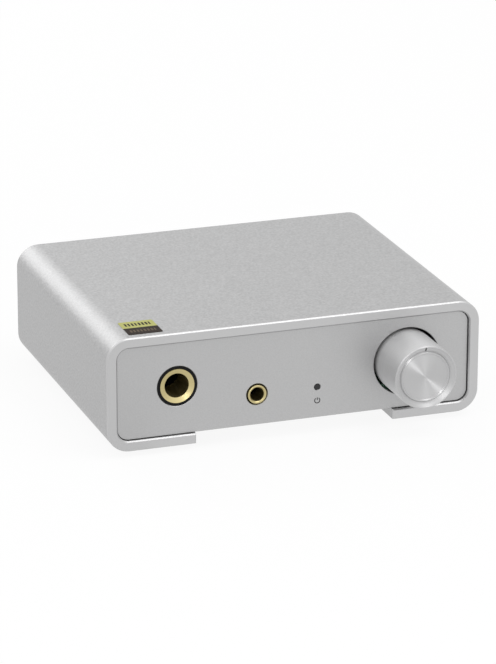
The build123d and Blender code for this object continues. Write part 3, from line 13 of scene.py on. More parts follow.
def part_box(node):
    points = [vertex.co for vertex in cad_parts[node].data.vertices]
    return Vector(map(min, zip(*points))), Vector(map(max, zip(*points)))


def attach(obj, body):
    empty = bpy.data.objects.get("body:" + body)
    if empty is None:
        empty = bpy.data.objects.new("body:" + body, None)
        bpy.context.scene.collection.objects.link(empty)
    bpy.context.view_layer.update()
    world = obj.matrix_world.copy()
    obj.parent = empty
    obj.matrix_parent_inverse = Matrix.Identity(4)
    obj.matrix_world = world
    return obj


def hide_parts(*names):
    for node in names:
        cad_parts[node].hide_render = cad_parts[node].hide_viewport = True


bl_info = {
    "name": "Desktop converter looks",
    "version": (1, 0, 0),
    "blender": (4, 5, 0),
    "location": "3D View > Sidebar > Converter",
    "description": "Finishes, fine details and studio for a desktop converter and headphone amplifier",
    "category": "Object",
}

MM = 0.001
WHITE = (1.0, 1.0, 1.0, 1.0)
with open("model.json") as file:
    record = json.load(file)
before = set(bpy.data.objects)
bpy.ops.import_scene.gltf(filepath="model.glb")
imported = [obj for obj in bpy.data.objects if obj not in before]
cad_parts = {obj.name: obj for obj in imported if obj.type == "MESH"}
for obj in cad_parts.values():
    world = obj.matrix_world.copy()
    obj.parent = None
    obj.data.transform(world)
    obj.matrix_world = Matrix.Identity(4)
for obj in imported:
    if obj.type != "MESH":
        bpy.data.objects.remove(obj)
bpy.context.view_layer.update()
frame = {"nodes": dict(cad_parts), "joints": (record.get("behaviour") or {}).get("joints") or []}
NODES = frame["nodes"]


def joint_named(name):
    """The frame's record of one joint."""
    return next(joint for joint in frame["joints"] if joint["name"] == name)


def middle(node):
    """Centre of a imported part's box."""
    low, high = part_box(node)
    return (low + high) / 2


SLEEVE_LOW, SLEEVE_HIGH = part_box("sleeve")
PANEL_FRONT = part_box("front_panel")[0].y
KNOB_AXIS = Vector(joint_named("volume")["pos_m"])
SPUN_LOW, SPUN_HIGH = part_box("knob_inlay")

SENSOR_SIDE = 36.0  # millimetres, the longer side of the picture
# Each lamp's width and height, and its place, in metres; the studio setting of that name is its power.
LAMPS = {
    "top": ((0.60, 0.60), (0.34, -0.38, 1.15)),
    "key": ((0.35, 0.35), (-0.50, -0.62, 0.62)),
    "fill": ((1.00, 0.70), (0.35, -0.85, 0.52)),
    "edge": ((0.45, 0.30), (-0.26, 0.80, 0.27)),
    "back": ((0.60, 0.30), (-0.15, 0.85, 0.62)),
    "front": ((0.14, 0.14), (-0.24, -0.92, 0.31)),
}


# ---------------------------------------------------------------------------
# Settings
# ---------------------------------------------------------------------------
class StudioSettings(PropertyGroup):
    """The camera, the floor and the lights"""
    azimuth: FloatProperty(name="Azimuth", description="Camera turned about Z; 0 looks along +Y",
                           subtype="ANGLE", default=math.radians(-19.382))
    elevation: FloatProperty(name="Elevation", description="How far the camera looks down",
                             subtype="ANGLE", default=math.radians(19.211))
    roll: FloatProperty(name="Roll", description="Camera turned about its own axis",
                        subtype="ANGLE", default=math.radians(0.137))
    distance: FloatProperty(name="Distance", description="Camera to the point that it looks at",
                            unit="LENGTH", default=950.8 * MM)
    lens: FloatProperty(name="Lens", description="Focal length in millimetres on a 36 mm side",
                        default=202.64)
    aim: FloatVectorProperty(name="Aim", unit="LENGTH",
                             description="Looked-at point, from the sleeve's lower front middle",
                             default=(-8.71 * MM, 11.88 * MM, 23.85 * MM))
    floor_size: FloatProperty(name="Floor size", description="Side of the square floor",
                              unit="LENGTH", default=6.0)
    floor_colour: FloatVectorProperty(name="Floor colour", description="Pale floor", subtype="COLOR",
                                      size=3, default=(0.93, 0.93, 0.93))
    floor_glow: FloatProperty(name="Floor glow", description="Share of the seen floor that stays white",
                              subtype="FACTOR", default=0.9)
    sky_level: FloatProperty(name="Sky level", description="Even light from all round", default=0.74)
    top_power: FloatProperty(name="Top light", description="Watts of the light above on the right",
                             default=2.9)
    key_power: FloatProperty(name="Key light", description="Watts of the light at the front left",
                             default=0.6)
    fill_power: FloatProperty(name="Fill light", description="Watts of the wide light at the front right",
                              default=0.7)
    edge_power: FloatProperty(name="Edge light", description="Watts of the low light behind on the left",
                              default=0.64)
    back_power: FloatProperty(name="Back light", description="Watts of the high light behind",
                              default=0.75)
    front_power: FloatProperty(name="Front light", description="Watts of the light beside the camera",
                               default=1.1)


class FinishSettings(PropertyGroup):
    """The colours of the metal parts, and the grain of the blasted ones"""
    sleeve_colour: FloatVectorProperty(name="Sleeve", description="Bead-blasted silver", subtype="COLOR",
                                       size=3, default=(0.450, 0.450, 0.452))
    panel_colour: FloatVectorProperty(name="Panel", description="Satin silver", subtype="COLOR",
                                      size=3, default=(0.485, 0.485, 0.487))
    knob_colour: FloatVectorProperty(name="Knob", description="Turned silver", subtype="COLOR",
                                     size=3, default=(0.58, 0.58, 0.583))
    spun_colour: FloatVectorProperty(name="Spun face", description="Bright turned silver",
                                     subtype="COLOR", size=3, default=(0.58, 0.58, 0.583))
    gold_colour: FloatVectorProperty(name="Gold", description="Plated sockets", subtype="COLOR",
                                     size=3, default=(0.56, 0.48, 0.25))
    grain: FloatProperty(name="Grain", description="Size of the blasted grain", unit="LENGTH",
                         default=0.55 * MM)
    panel_grain: FloatProperty(name="Panel grain", description="Panels' grain as a share of the sleeve's",
                               subtype="FACTOR", default=0.6)
    # The strip round the sleeve's front is smooth machined metal without grain, and its colour is painted
    # brighter there as a highlight.
    machined_highlit_strip: FloatProperty(name="Machined strip", unit="LENGTH",
                                  description="Plain ring round the sleeve's front", default=0.6 * MM)


class DetailSettings(PropertyGroup):
    """The spun face of the knob and the power sign"""
    face_depth: FloatProperty(name="Face depth", description="Flat of the spun face behind its front",
                              unit="LENGTH", default=0.24 * MM)
    edge_drop: FloatProperty(name="Edge drop", description="Outer edge behind the spun face",
                             unit="LENGTH", default=0.13 * MM)
    ridge_width: FloatProperty(name="Ridge width", description="Rounded ridge round the spun face",
                               unit="LENGTH", default=0.70 * MM)
    ridge_height: FloatProperty(name="Ridge height", description="Rise of the rounded ridge",
                                unit="LENGTH", default=0.30 * MM)
    ridge_rows: IntProperty(name="Ridge rows", description="Mesh rings across the ridge", default=12)
    ring_pitch: FloatProperty(name="Ring pitch", description="Between turned rings on the knob's face",
                              unit="LENGTH", default=0.11 * MM)
    ring_depth: FloatProperty(name="Ring depth", description="Height of a turned ring", unit="LENGTH",
                              default=0.009 * MM)
    ring_steps: IntProperty(name="Ring steps", description="Mesh rings for one turned ring", default=3)
    segments: IntProperty(name="Segments", description="Mesh steps round the knob's face", default=256)
    mark_radius: FloatProperty(name="Sign radius", description="Middle of the power sign's arc",
                               unit="LENGTH", default=0.70 * MM)
    mark_stroke: FloatProperty(name="Sign stroke", description="Width of the printed lines",
                               unit="LENGTH", default=0.25 * MM)
    mark_drop: FloatProperty(name="Sign drop", description="Power sign below the status light",
                             unit="LENGTH", default=2.77 * MM)
    mark_opening: FloatProperty(name="Sign opening", description="Half of the gap at the arc's top",
                                subtype="ANGLE", default=math.radians(32))
    mark_steps: IntProperty(name="Sign steps", description="Mesh steps along the arc", default=64)
    ink: FloatProperty(name="Ink", description="Thickness of a print", unit="LENGTH", default=0.015 * MM)


# ---------------------------------------------------------------------------
# Material helpers
# ---------------------------------------------------------------------------
class Shader:
    """A new material with a Principled BSDF, and short calls to add nodes to it."""

    def __init__(self, name, colour=(0.8, 0.8, 0.8), metallic=0.0, roughness=0.5, **plain):
        self.material = bpy.data.materials.new(name)
        self.material.use_nodes = True
        self.tree = self.material.node_tree
        self.bsdf = self.tree.nodes["Principled BSDF"]
        set_inputs(self.bsdf, Base_Color=(*colour, 1.0), Metallic=metallic, Roughness=roughness, **plain)

    def node(self, kind, inputs=None, **settings):
        """Add a node to the material."""
        return add_node(self.tree, kind, inputs, **settings)

    def feed(self, name, output):
        """Link an output to a socket of the Principled BSDF."""
        self.tree.links.new(output, self.bsdf.inputs[name])

    def bump(self, height, distance, strength=1.0):
        """Raise the surface by up to distance where height is 1."""
        bump = self.node("ShaderNodeBump", {"Strength": strength, "Distance": distance, "Height": height})
        self.feed("Normal", bump.outputs["Normal"])


def set_inputs(node, **values):
    """Set a node's sockets by name, with _ for a space."""
    for name, value in values.items():
        node.inputs[name.replace("_", " ")].default_value = value


def add_node(tree, kind, inputs=None, **settings):
    """Add a node; inputs maps a socket's name or number to a value or to another node's output."""
    node = tree.nodes.new(kind)
    for name, value in settings.items():
        setattr(node, name, value)
    for name, value in (inputs or {}).items():
        if isinstance(value, bpy.types.NodeSocket):
            tree.links.new(value, node.inputs[name])
        else:
            node.inputs[name].default_value = value
    return node


def math_node(tree, operation, first, second=0.0, third=0.0):
    """The result of a Math node; MULTIPLY_ADD is first * second + third."""
    values = {0: first, 1: second, 2: third}
    return add_node(tree, "ShaderNodeMath", values, operation=operation).outputs[0]


def mix_colour(tree, factor, first, second):
    """The colour first where factor is 0, and second where it is 1."""
    # A Mix node has sockets of every type: 0 is its factor, 6 and 7 its colours, output 2 their mix.
    values = {0: factor, 6: first, 7: second}
    return add_node(tree, "ShaderNodeMix", values, data_type="RGBA").outputs[2]


def object_place(tree):
    """The place on the piece, in the model's own frame."""
    return add_node(tree, "ShaderNodeTexCoord").outputs["Object"]


def seen_directly(tree):
    """1 for rays from the camera and for those that metal and glass pass on, else 0."""
    path = add_node(tree, "ShaderNodeLightPath").outputs
    seen = math_node(tree, "MAXIMUM", path["Is Camera Ray"], path["Is Glossy Ray"])
    return math_node(tree, "MAXIMUM", seen, path["Is Transmission Ray"])


def new_group(name, inputs, outputs):
    """A shader node group with named sockets; returns (tree, its inputs, its outputs)."""
    tree = bpy.data.node_groups.new(name, "ShaderNodeTree")
    for label, kind, default in inputs:
        socket = tree.interface.new_socket(name=label, in_out="INPUT", socket_type=kind)
        socket.default_value = default
    for label, kind in outputs:
        tree.interface.new_socket(name=label, in_out="OUTPUT", socket_type=kind)
    return tree, tree.nodes.new("NodeGroupInput").outputs, tree.nodes.new("NodeGroupOutput").inputs


def blasted_grain_group():
    """Fine speckle of a blasted surface: colour, roughness and height."""
    tree, given, out = new_group(
        "blasted_grain",
        [("Color", "NodeSocketColor", (0.5, 0.5, 0.5, 1)), ("Scale", "NodeSocketFloat", 3000.0),
         ("Contrast", "NodeSocketFloat", 0.1), ("Roughness", "NodeSocketFloat", 0.4),
         ("Roughness change", "NodeSocketFloat", 0.05)],
        [("Color", "NodeSocketColor"), ("Roughness", "NodeSocketFloat"), ("Height", "NodeSocketFloat")])
    cloud_change = 0.03
    place = object_place(tree)
    speckle = add_node(tree, "ShaderNodeTexNoise",
                       {"Vector": place, "Scale": given["Scale"], "Detail": 1.0})
    cloud = add_node(tree, "ShaderNodeTexNoise", {"Vector": place, "Scale": 28.0, "Detail": 2.0})
    centred = math_node(tree, "SUBTRACT", speckle.outputs[0], 0.5)
    slow = math_node(tree, "SUBTRACT", cloud.outputs[0], 0.5)
    gain = math_node(tree, "MULTIPLY_ADD", centred, given["Contrast"], 1.0)
    slow_gain = math_node(tree, "MULTIPLY", slow, cloud_change)
    level = math_node(tree, "ADD", gain, slow_gain)
    colour = add_node(tree, "ShaderNodeVectorMath", {0: given["Color"]}, operation="SCALE")
    tree.links.new(level, colour.inputs["Scale"])
    rough = math_node(tree, "MULTIPLY_ADD", centred, given["Roughness change"], given["Roughness"])
    tree.links.new(colour.outputs[0], out["Color"])
    tree.links.new(rough, out["Roughness"])
    tree.links.new(speckle.outputs[0], out["Height"])
    return tree


def turning_lines_group():
    """Fine rings about an axis along Y: height, and a colour mask."""
    tree, given, out = new_group(
        "turning_lines",
        [("Centre", "NodeSocketVector", (0, 0, 0)), ("Pitch", "NodeSocketFloat", 0.0001),
         ("Wander", "NodeSocketFloat", 2.0)],
        [("Height", "NodeSocketFloat"), ("Mask", "NodeSocketFloat")])
    from_axis = add_node(tree, "ShaderNodeVectorMath", {0: object_place(tree), 1: given["Centre"]},
                         operation="SUBTRACT")
    flat = add_node(tree, "ShaderNodeVectorMath", {0: from_axis.outputs[0], 1: (1, 0, 1)},
                    operation="MULTIPLY")
    radius = add_node(tree, "ShaderNodeVectorMath", {0: flat.outputs[0]}, operation="LENGTH")
    depth = add_node(tree, "ShaderNodeSeparateXYZ", {0: from_axis.outputs[0]}).outputs["Y"]
    along = math_node(tree, "ADD", radius.outputs["Value"], depth)
    turns = math_node(tree, "DIVIDE", along, given["Pitch"])
    uneven = add_node(tree, "ShaderNodeTexNoise", {"W": turns, "Scale": 0.37, "Detail": 2.0},
                      noise_dimensions="1D")
    wander = math_node(tree, "MULTIPLY", uneven.outputs[0], given["Wander"])
    phase = math_node(tree, "MULTIPLY", math_node(tree, "ADD", turns, wander), math.tau)
    wave = math_node(tree, "MULTIPLY_ADD", math_node(tree, "SINE", phase), 0.5, 0.5)
    tree.links.new(wave, out["Height"])
    tree.links.new(uneven.outputs[0], out["Mask"])
    return tree


def soft_smudges_group():
    """Slow uneven roughness, as on a handled surface."""
    tree, given, out = new_group(
        "soft_smudges",
        [("Scale", "NodeSocketFloat", 90.0), ("Roughness", "NodeSocketFloat", 0.4),
         ("Change", "NodeSocketFloat", 0.08)],
        [("Roughness", "NodeSocketFloat")])
    cloud = add_node(tree, "ShaderNodeTexNoise",
                     {"Vector": object_place(tree), "Scale": given["Scale"], "Detail": 4.0})
    centred = math_node(tree, "SUBTRACT", cloud.outputs[0], 0.5)
    rough = math_node(tree, "MULTIPLY_ADD", centred, given["Change"], given["Roughness"])
    tree.links.new(rough, out["Roughness"])
    return tree


GROUP_MAKERS = {
    "blasted_grain": blasted_grain_group,
    "turning_lines": turning_lines_group,
    "soft_smudges": soft_smudges_group,
}


def place_group(shader, group, **values):
    """Put a shared node group in a material, with values for its named inputs.

    The group is made the first time that a material asks for it.
    """
    tree = bpy.data.node_groups.get(group) or GROUP_MAKERS[group]()
    node = shader.node("ShaderNodeGroup", node_tree=tree)
    set_inputs(node, **values)
    return node.outputs


def give(material, *node_names):
    """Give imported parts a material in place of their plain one."""
    for name in node_names:
        for slot in NODES[name].material_slots:
            slot.material = material


# ---------------------------------------------------------------------------
# Finishes
# ---------------------------------------------------------------------------
def scaled(colour, gain):
    """A colour made brighter or darker, as the four values that a socket takes."""
    return (*(min(1.0, channel * gain) for channel in colour), 1.0)


def blasted_silver(name, colour, grain, contrast, roughness, height, machined_highlit_to=None):
    """Bead-blasted and anodised aluminium; in front of machined_highlit_to it is left plain, as machined
    metal, and its colour is painted brighter as a highlight.
    """
    # Painted highlight: the gain that makes the strip's colour brighter than the blasted metal.
    painted_highlight_gain = 1.2
    shader = Shader(name, metallic=1.0)
    out = place_group(shader, "blasted_grain", Color=(*colour, 1.0), Scale=1.0 / grain,
                      Contrast=contrast, Roughness=roughness, Roughness_change=0.12)
    surface, relief = out["Color"], out["Height"]
    if machined_highlit_to is not None:
        tree = shader.tree
        depth = add_node(tree, "ShaderNodeSeparateXYZ", {0: object_place(tree)}).outputs["Y"]
        blasted = math_node(tree, "GREATER_THAN", depth, machined_highlit_to)
        # Painted highlight: in front of the strip's edge the colour is a brighter copy, and the grain is
        # left out.
        surface = mix_colour(tree, blasted, scaled(colour, painted_highlight_gain), surface)
        relief = math_node(tree, "MULTIPLY", relief, blasted)
    shader.feed("Base Color", surface)
    shader.feed("Roughness", out["Roughness"])
    shader.bump(relief, height)
    return shader.material


def turned_silver(name, colour, centre, pitch, roughness, height, anisotropic=0.0, contrast=0.06):
    """Lathe-turned aluminium with rings about an axis along Y."""
    shader = Shader(name, colour, metallic=1.0, roughness=roughness, Anisotropic=anisotropic,
                    Anisotropic_Rotation=0.25)
    out = place_group(shader, "turning_lines", Centre=centre, Pitch=pitch)
    if contrast:
        dark, bright = scaled(colour, 1 - contrast), scaled(colour, 1 + contrast)
        shader.feed("Base Color", mix_colour(shader.tree, out["Mask"], dark, bright))
    shader.bump(out["Height"], height)
    if anisotropic:
        tangent = shader.node("ShaderNodeTangent", direction_type="RADIAL", axis="Y")
        shader.feed("Tangent", tangent.outputs[0])
    return shader.material


def smooth_finish(name, colour, metallic, roughness):
    """Plated metal, paint or clear moulding with slightly uneven gloss."""
    shader = Shader(name, colour, metallic, roughness)
    out = place_group(shader, "soft_smudges", Scale=90.0, Roughness=roughness, Change=0.06)
    shader.feed("Roughness", out["Roughness"])
    return shader.material


def textured_plastic(name, colour, roughness, grain, height, contrast=0.15):
    """Moulded plastic or rubber with a fine spark-eroded texture."""
    shader = Shader(name, Specular_IOR_Level=0.12)
    out = place_group(shader, "blasted_grain", Color=(*colour, 1.0), Scale=1.0 / grain,
                      Contrast=contrast, Roughness=roughness, Roughness_change=0.1)
    shader.feed("Base Color", out["Color"])
    shader.feed("Roughness", out["Roughness"])
    shader.bump(out["Height"], height)
    return shader.material


def band(tree, value, low, high):
    """1 where value lies between low and high, else 0."""
    above = math_node(tree, "GREATER_THAN", value, low)
    return math_node(tree, "MULTIPLY", above, math_node(tree, "LESS_THAN", value, high))


def foil_finish():
    """Two-tone foil with plain bars: gold at the back, dark at the front."""
    low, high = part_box("foil_label")
    half = (high.y - low.y) / 2
    split = low.y + half
    gold, dark, grey = (0.46, 0.46, 0.15, 1.0), (0.016, 0.008, 0.003, 1.0), (0.11, 0.08, 0.05, 1.0)
    inset, pitch = 1.1 * MM, 0.9 * MM
    narrowest_bar, bar_spread = 0.35, 0.35  # as shares of the pitch
    back_row, front_row = 0.42, 0.34  # heights of the rows of bars, as shares of half the foil
    roughness = 0.5
    shader = Shader("foil_print", metallic=0.15, roughness=roughness, Specular_IOR_Level=0.08)
    tree = shader.tree
    part = add_node(tree, "ShaderNodeSeparateXYZ", {0: object_place(tree)}).outputs
    across = band(tree, part["X"], low.x + inset, high.x - inset)
    cell = math_node(tree, "DIVIDE", part["X"], pitch)
    uneven = add_node(tree, "ShaderNodeTexWhiteNoise", {"W": math_node(tree, "FLOOR", cell)},
                      noise_dimensions="1D").outputs["Value"]
    width = math_node(tree, "MULTIPLY_ADD", uneven, bar_spread, narrowest_bar)
    bars = math_node(tree, "MULTIPLY", across,
                     math_node(tree, "LESS_THAN", math_node(tree, "FRACT", cell), width))
    colour = mix_colour(tree, math_node(tree, "GREATER_THAN", part["Y"], split), dark, gold)
    for front, ink, share in ((split, dark, back_row), (low.y, grey, front_row)):
        centre, reach = front + half / 2, half * share / 2
        row = math_node(tree, "MULTIPLY", bars, band(tree, part["Y"], centre - reach, centre + reach))
        colour = mix_colour(tree, row, colour, ink)
    shader.feed("Base Color", colour)
    out = place_group(shader, "soft_smudges", Scale=400.0, Roughness=roughness, Change=0.15)
    shader.feed("Roughness", out["Roughness"])
    return shader.material


def board_finish():
    """Solder mask with faint copper tracks and areas under it."""
    bare, over_copper = (0.006, 0.05, 0.025, 1.0), (0.012, 0.10, 0.045, 1.0)
    track_width, pour_level = 0.06, 0.52
    shader = Shader("solder_mask", roughness=0.35, Coat_Weight=0.4, Coat_Roughness=0.2)
    tree = shader.tree
    place = object_place(tree)
    cells = add_node(tree, "ShaderNodeTexVoronoi", {"Vector": place, "Scale": 260.0},
                     distance="CHEBYCHEV", feature="DISTANCE_TO_EDGE")
    track = math_node(tree, "LESS_THAN", cells.outputs["Distance"], track_width)
    pour = add_node(tree, "ShaderNodeTexNoise", {"Vector": place, "Scale": 60.0})
    area = math_node(tree, "GREATER_THAN", pour.outputs[0], pour_level)
    copper = math_node(tree, "MAXIMUM", track, area)
    shader.feed("Base Color", mix_colour(tree, copper, bare, over_copper))
    shader.bump(copper, 0.02 * MM, strength=0.6)
    return shader.material


# ---------------------------------------------------------------------------
# Meshes
# ---------------------------------------------------------------------------
def mesh_object(name, verts, faces, material, body):
    """A finished piece in the frame, riding on a body."""
    mesh = bpy.data.meshes.new(name)
    mesh.from_pydata(verts, [], faces)
    mesh.validate()
    mesh.materials.append(material)
    piece = bpy.data.objects.new(name, mesh)
    bpy.context.scene.collection.objects.link(piece)
    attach(piece, body)


def ribbon(points, width):
    """Corners on both sides of a flat line through 2-D points."""
    left, right = [], []
    for before, point, after in zip(points[:1] + points, points, points[1:] + points[-1:]):
        along = (after - before).normalized()
        across = Vector((-along.y, along.x)) * (width / 2)
        left.append(point + across)
        right.append(point - across)
    return left, right


def raised_ribbon(points, width, thickness, put):
    """Closed print along flat points; put turns (2-D point, height) into a place in the frame."""
    sides = ribbon(points, width)
    verts = [put(point, height) for height in (0.0, thickness) for side in sides for point in side]
    count = len(points)
    last, top = count - 1, 2 * count  # last point of a side; first corner of the raised face
    faces = []
    for left in range(last):
        next_left, right, next_right = left + 1, left + count, left + count + 1
        faces.append((left, next_left, next_right, right))
        faces.append((top + left, top + right, top + next_right, top + next_left))
        faces.append((left, top + left, top + next_left, next_left))
        faces.append((right, next_right, top + next_right, top + right))
    faces.append((0, count, top + count, top))
    faces.append((last, top + last, top + count + last, count + last))
    return verts, faces


def join(parts):
    """Several (verts, faces) lists as one."""
    verts, faces = [], []
    for part_verts, part_faces in parts:
        start = len(verts)
        verts += part_verts
        faces += [tuple(start + i for i in face) for face in part_faces]
    return verts, faces


def empty_piece(name):
    """A mesh object with nothing in it yet, for a node tree to fill."""
    piece = bpy.data.objects.new(name, bpy.data.meshes.new(name))
    bpy.context.scene.collection.objects.link(piece)
    return piece


def grown_mesh(piece, tree, values):
    """Run a geometry tree on a piece with named values, and keep the result as a plain mesh."""
    modifier = piece.modifiers.new(tree.name, "NODES")
    modifier.node_group = tree
    for item in tree.interface.items_tree:
        if item.in_out == "INPUT" and item.name in values:
            modifier[item.identifier] = values[item.name]
    piece.update_tag()
    bpy.context.view_layer.update()
    evaluated = piece.evaluated_get(bpy.context.evaluated_depsgraph_get())
    grown = bpy.data.meshes.new_from_object(evaluated)
    piece.modifiers.remove(modifier)
    piece.data = grown
    grown.name = piece.name
    return piece


def geometry_tree(name, inputs):
    """A geometry node tree with named inputs; returns (tree, its inputs, its geometry output)."""
    tree = bpy.data.node_groups.new(name, "GeometryNodeTree")
    tree.is_modifier = True
    tree.interface.new_socket(name="Geometry", in_out="OUTPUT", socket_type="NodeSocketGeometry")
    for label, kind in inputs:
        tree.interface.new_socket(name=label, in_out="INPUT", socket_type=kind)
    given = tree.nodes.new("NodeGroupInput").outputs
    return tree, given, tree.nodes.new("NodeGroupOutput").inputs["Geometry"]


# ---------------------------------------------------------------------------
# The spun face of the knob
# ---------------------------------------------------------------------------
def spun_face_tree():
    """A disc turned about Y: fine rings, a rounded ridge at the edge, a plain wall and back."""
    same_point = 1e-7  # metres
    sharp_fold = 0.7  # radians
    names = ("Centre X", "Centre Z", "Face", "Floor", "Edge", "Flat radius", "Ridge width",
             "Ridge height", "Ring pitch", "Ring depth")
    tree, given, out = geometry_tree(
        "spun_face", [(label, "NodeSocketFloat") for label in names]
        + [(label, "NodeSocketInt") for label in ("Segments", "Ring rows", "Ridge rows")]
        + [("Finish", "NodeSocketMaterial")])

    def calc(operation, first, second=0.0):
        return math_node(tree, operation, first, second)

    def clamped(value):
        return calc("MINIMUM", calc("MAXIMUM", value, 0.0), 1.0)

    last_row = calc("ADD", calc("ADD", given["Ring rows"], given["Ridge rows"]), 2.0)
    grid = add_node(tree, "GeometryNodeMeshGrid",
                    {"Size X": 1.0, "Size Y": 1.0, "Vertices X": calc("ADD", given["Segments"], 1.0),
                     "Vertices Y": calc("ADD", last_row, 1.0)})
    place = add_node(tree, "GeometryNodeInputPosition").outputs[0]
    flat = add_node(tree, "ShaderNodeSeparateXYZ", {0: place}).outputs
    angle = calc("MULTIPLY", calc("ADD", flat["X"], 0.5), math.tau)
    row = calc("ROUND", calc("MULTIPLY", calc("ADD", flat["Y"], 0.5), last_row))
    inner = calc("DIVIDE", calc("MINIMUM", row, given["Ring rows"]), given["Ring rows"])
    over = calc("SUBTRACT", row, given["Ring rows"])
    ridge = clamped(calc("DIVIDE", over, given["Ridge rows"]))
    wall = clamped(calc("SUBTRACT", over, given["Ridge rows"]))
    pole = clamped(calc("SUBTRACT", calc("SUBTRACT", over, given["Ridge rows"]), 1.0))

    ring_radius = calc("MULTIPLY", inner, given["Flat radius"])
    radius = calc("ADD", ring_radius, calc("MULTIPLY", ridge, given["Ridge width"]))
    radius = calc("MULTIPLY", radius, calc("SUBTRACT", 1.0, pole))
    turn = calc("MULTIPLY", calc("DIVIDE", ring_radius, given["Ring pitch"]), math.tau)
    groove = calc("MULTIPLY", calc("SUBTRACT", 1.0, calc("COSINE", turn)), given["Ring depth"])
    slope = calc("MULTIPLY", ridge, calc("SUBTRACT", given["Edge"], given["Face"]))
    crown = calc("MULTIPLY", calc("SINE", calc("MULTIPLY", ridge, math.pi)), given["Ridge height"])
    depth = calc("ADD", calc("ADD", given["Face"], calc("MULTIPLY", groove, 0.5)),
                 calc("SUBTRACT", slope, crown))
    depth = calc("ADD", calc("MULTIPLY", depth, calc("SUBTRACT", 1.0, wall)),
                 calc("MULTIPLY", given["Floor"], wall))
    across = calc("ADD", given["Centre X"], calc("MULTIPLY", radius, calc("COSINE", angle)))
    up = calc("ADD", given["Centre Z"], calc("MULTIPLY", radius, calc("SINE", angle)))
    spot = add_node(tree, "ShaderNodeCombineXYZ", {"X": across, "Y": depth, "Z": up}).outputs[0]

    placed = add_node(tree, "GeometryNodeSetPosition",
                      {"Geometry": grid.outputs["Mesh"], "Position": spot})
    closed = add_node(tree, "GeometryNodeMergeByDistance",
                      {"Geometry": placed.outputs[0], "Distance": same_point})
    smooth = add_node(tree, "GeometryNodeSetShadeSmooth", {"Geometry": closed.outputs[0]})
    fold = add_node(tree, "GeometryNodeInputMeshEdgeAngle").outputs["Unsigned Angle"]
    sharp = add_node(tree, "GeometryNodeSetShadeSmooth",
                     {"Geometry": smooth.outputs[0], "Selection": calc("GREATER_THAN", fold, sharp_fold),
                      "Shade Smooth": False}, domain="EDGE")
    real = add_node(tree, "GeometryNodeRealizeInstances", {"Geometry": sharp.outputs[0]})
    finish = add_node(tree, "GeometryNodeSetMaterial",
                      {"Geometry": real.outputs[0], "Material": given["Finish"]})
    tree.links.new(finish.outputs[0], out)
    return tree


# ---------------------------------------------------------------------------
# Operators
# ---------------------------------------------------------------------------
class CONVERTER_OT_silver_parts(Operator):
    """Finish the sleeve, the panels and the knob in blasted, satin and turned silver"""
    bl_idname = "converter.silver_parts"
    bl_label = "Silver parts"

    def execute(self, context):
        looks = context.scene.converter_finishes
        give(blasted_silver("blasted_sleeve", looks.sleeve_colour, looks.grain, contrast=0.55,
                            roughness=0.44, height=0.05 * MM,
                            machined_highlit_to=SLEEVE_LOW.y + looks.machined_highlit_strip),
             "sleeve")
        give(blasted_silver("satin_panels", looks.panel_colour, looks.grain * looks.panel_grain,
                            contrast=0.22, roughness=0.50, height=0.010 * MM),
             "front_panel", "rear_panel", "bottom_plate")
        give(turned_silver("turned_knob", looks.knob_colour, KNOB_AXIS, pitch=0.16 * MM,
                           roughness=0.52, height=0.003 * MM, anisotropic=0.75),
             "knob_body")
        return {"FINISHED"}


class CONVERTER_OT_sockets_and_fittings(Operator):
    """Finish the plated sockets, the contacts, the screws, the cans and the other small metal parts"""
    bl_idname = "converter.sockets_and_fittings"
    bl_label = "Sockets and fittings"

    def execute(self, context):
        gold = context.scene.converter_finishes.gold_colour
        give(turned_silver("plated_ferrule", gold, middle("jack_6_35_ferrule"), pitch=0.12 * MM,
                           roughness=0.40, height=0.004 * MM),
             "jack_6_35_ferrule")
        give(turned_silver("plated_small_ferrule", gold, middle("jack_3_5_ferrule"), pitch=0.10 * MM,
                           roughness=0.38, height=0.002 * MM),
             "jack_3_5_ferrule")
        give(smooth_finish("gold_plate", (0.83, 0.60, 0.24), metallic=1.0, roughness=0.22),
             "line_out_shells", "line_out_contacts", "usb_c_contacts")
        give(smooth_finish("bright_nickel", (0.68, 0.66, 0.62), metallic=1.0, roughness=0.20),
             "usb_c_shell", "jack_6_35_contacts", "jack_3_5_contacts", "line_out_terminals",
             "pot_terminals", "gain_switch_terminals")
        give(smooth_finish("zinc_steel", (0.55, 0.56, 0.57), metallic=1.0, roughness=0.30),
             "board_screws", "pot_body", "pot_shaft")
        give(smooth_finish("black_screw", (0.018, 0.018, 0.019), metallic=0.6, roughness=0.36),
             "rear_panel_screws", "chassis_screws", "knob_set_screw")
        give(smooth_finish("brass_turned", (0.72, 0.53, 0.25), metallic=1.0, roughness=0.30),
             "board_standoffs", "pot_bushing")
        give(smooth_finish("can_lid", (0.62, 0.63, 0.64), metallic=1.0, roughness=0.24),
             "clock_oscillators", "electrolytic_capacitors")
        return {"FINISHED"}


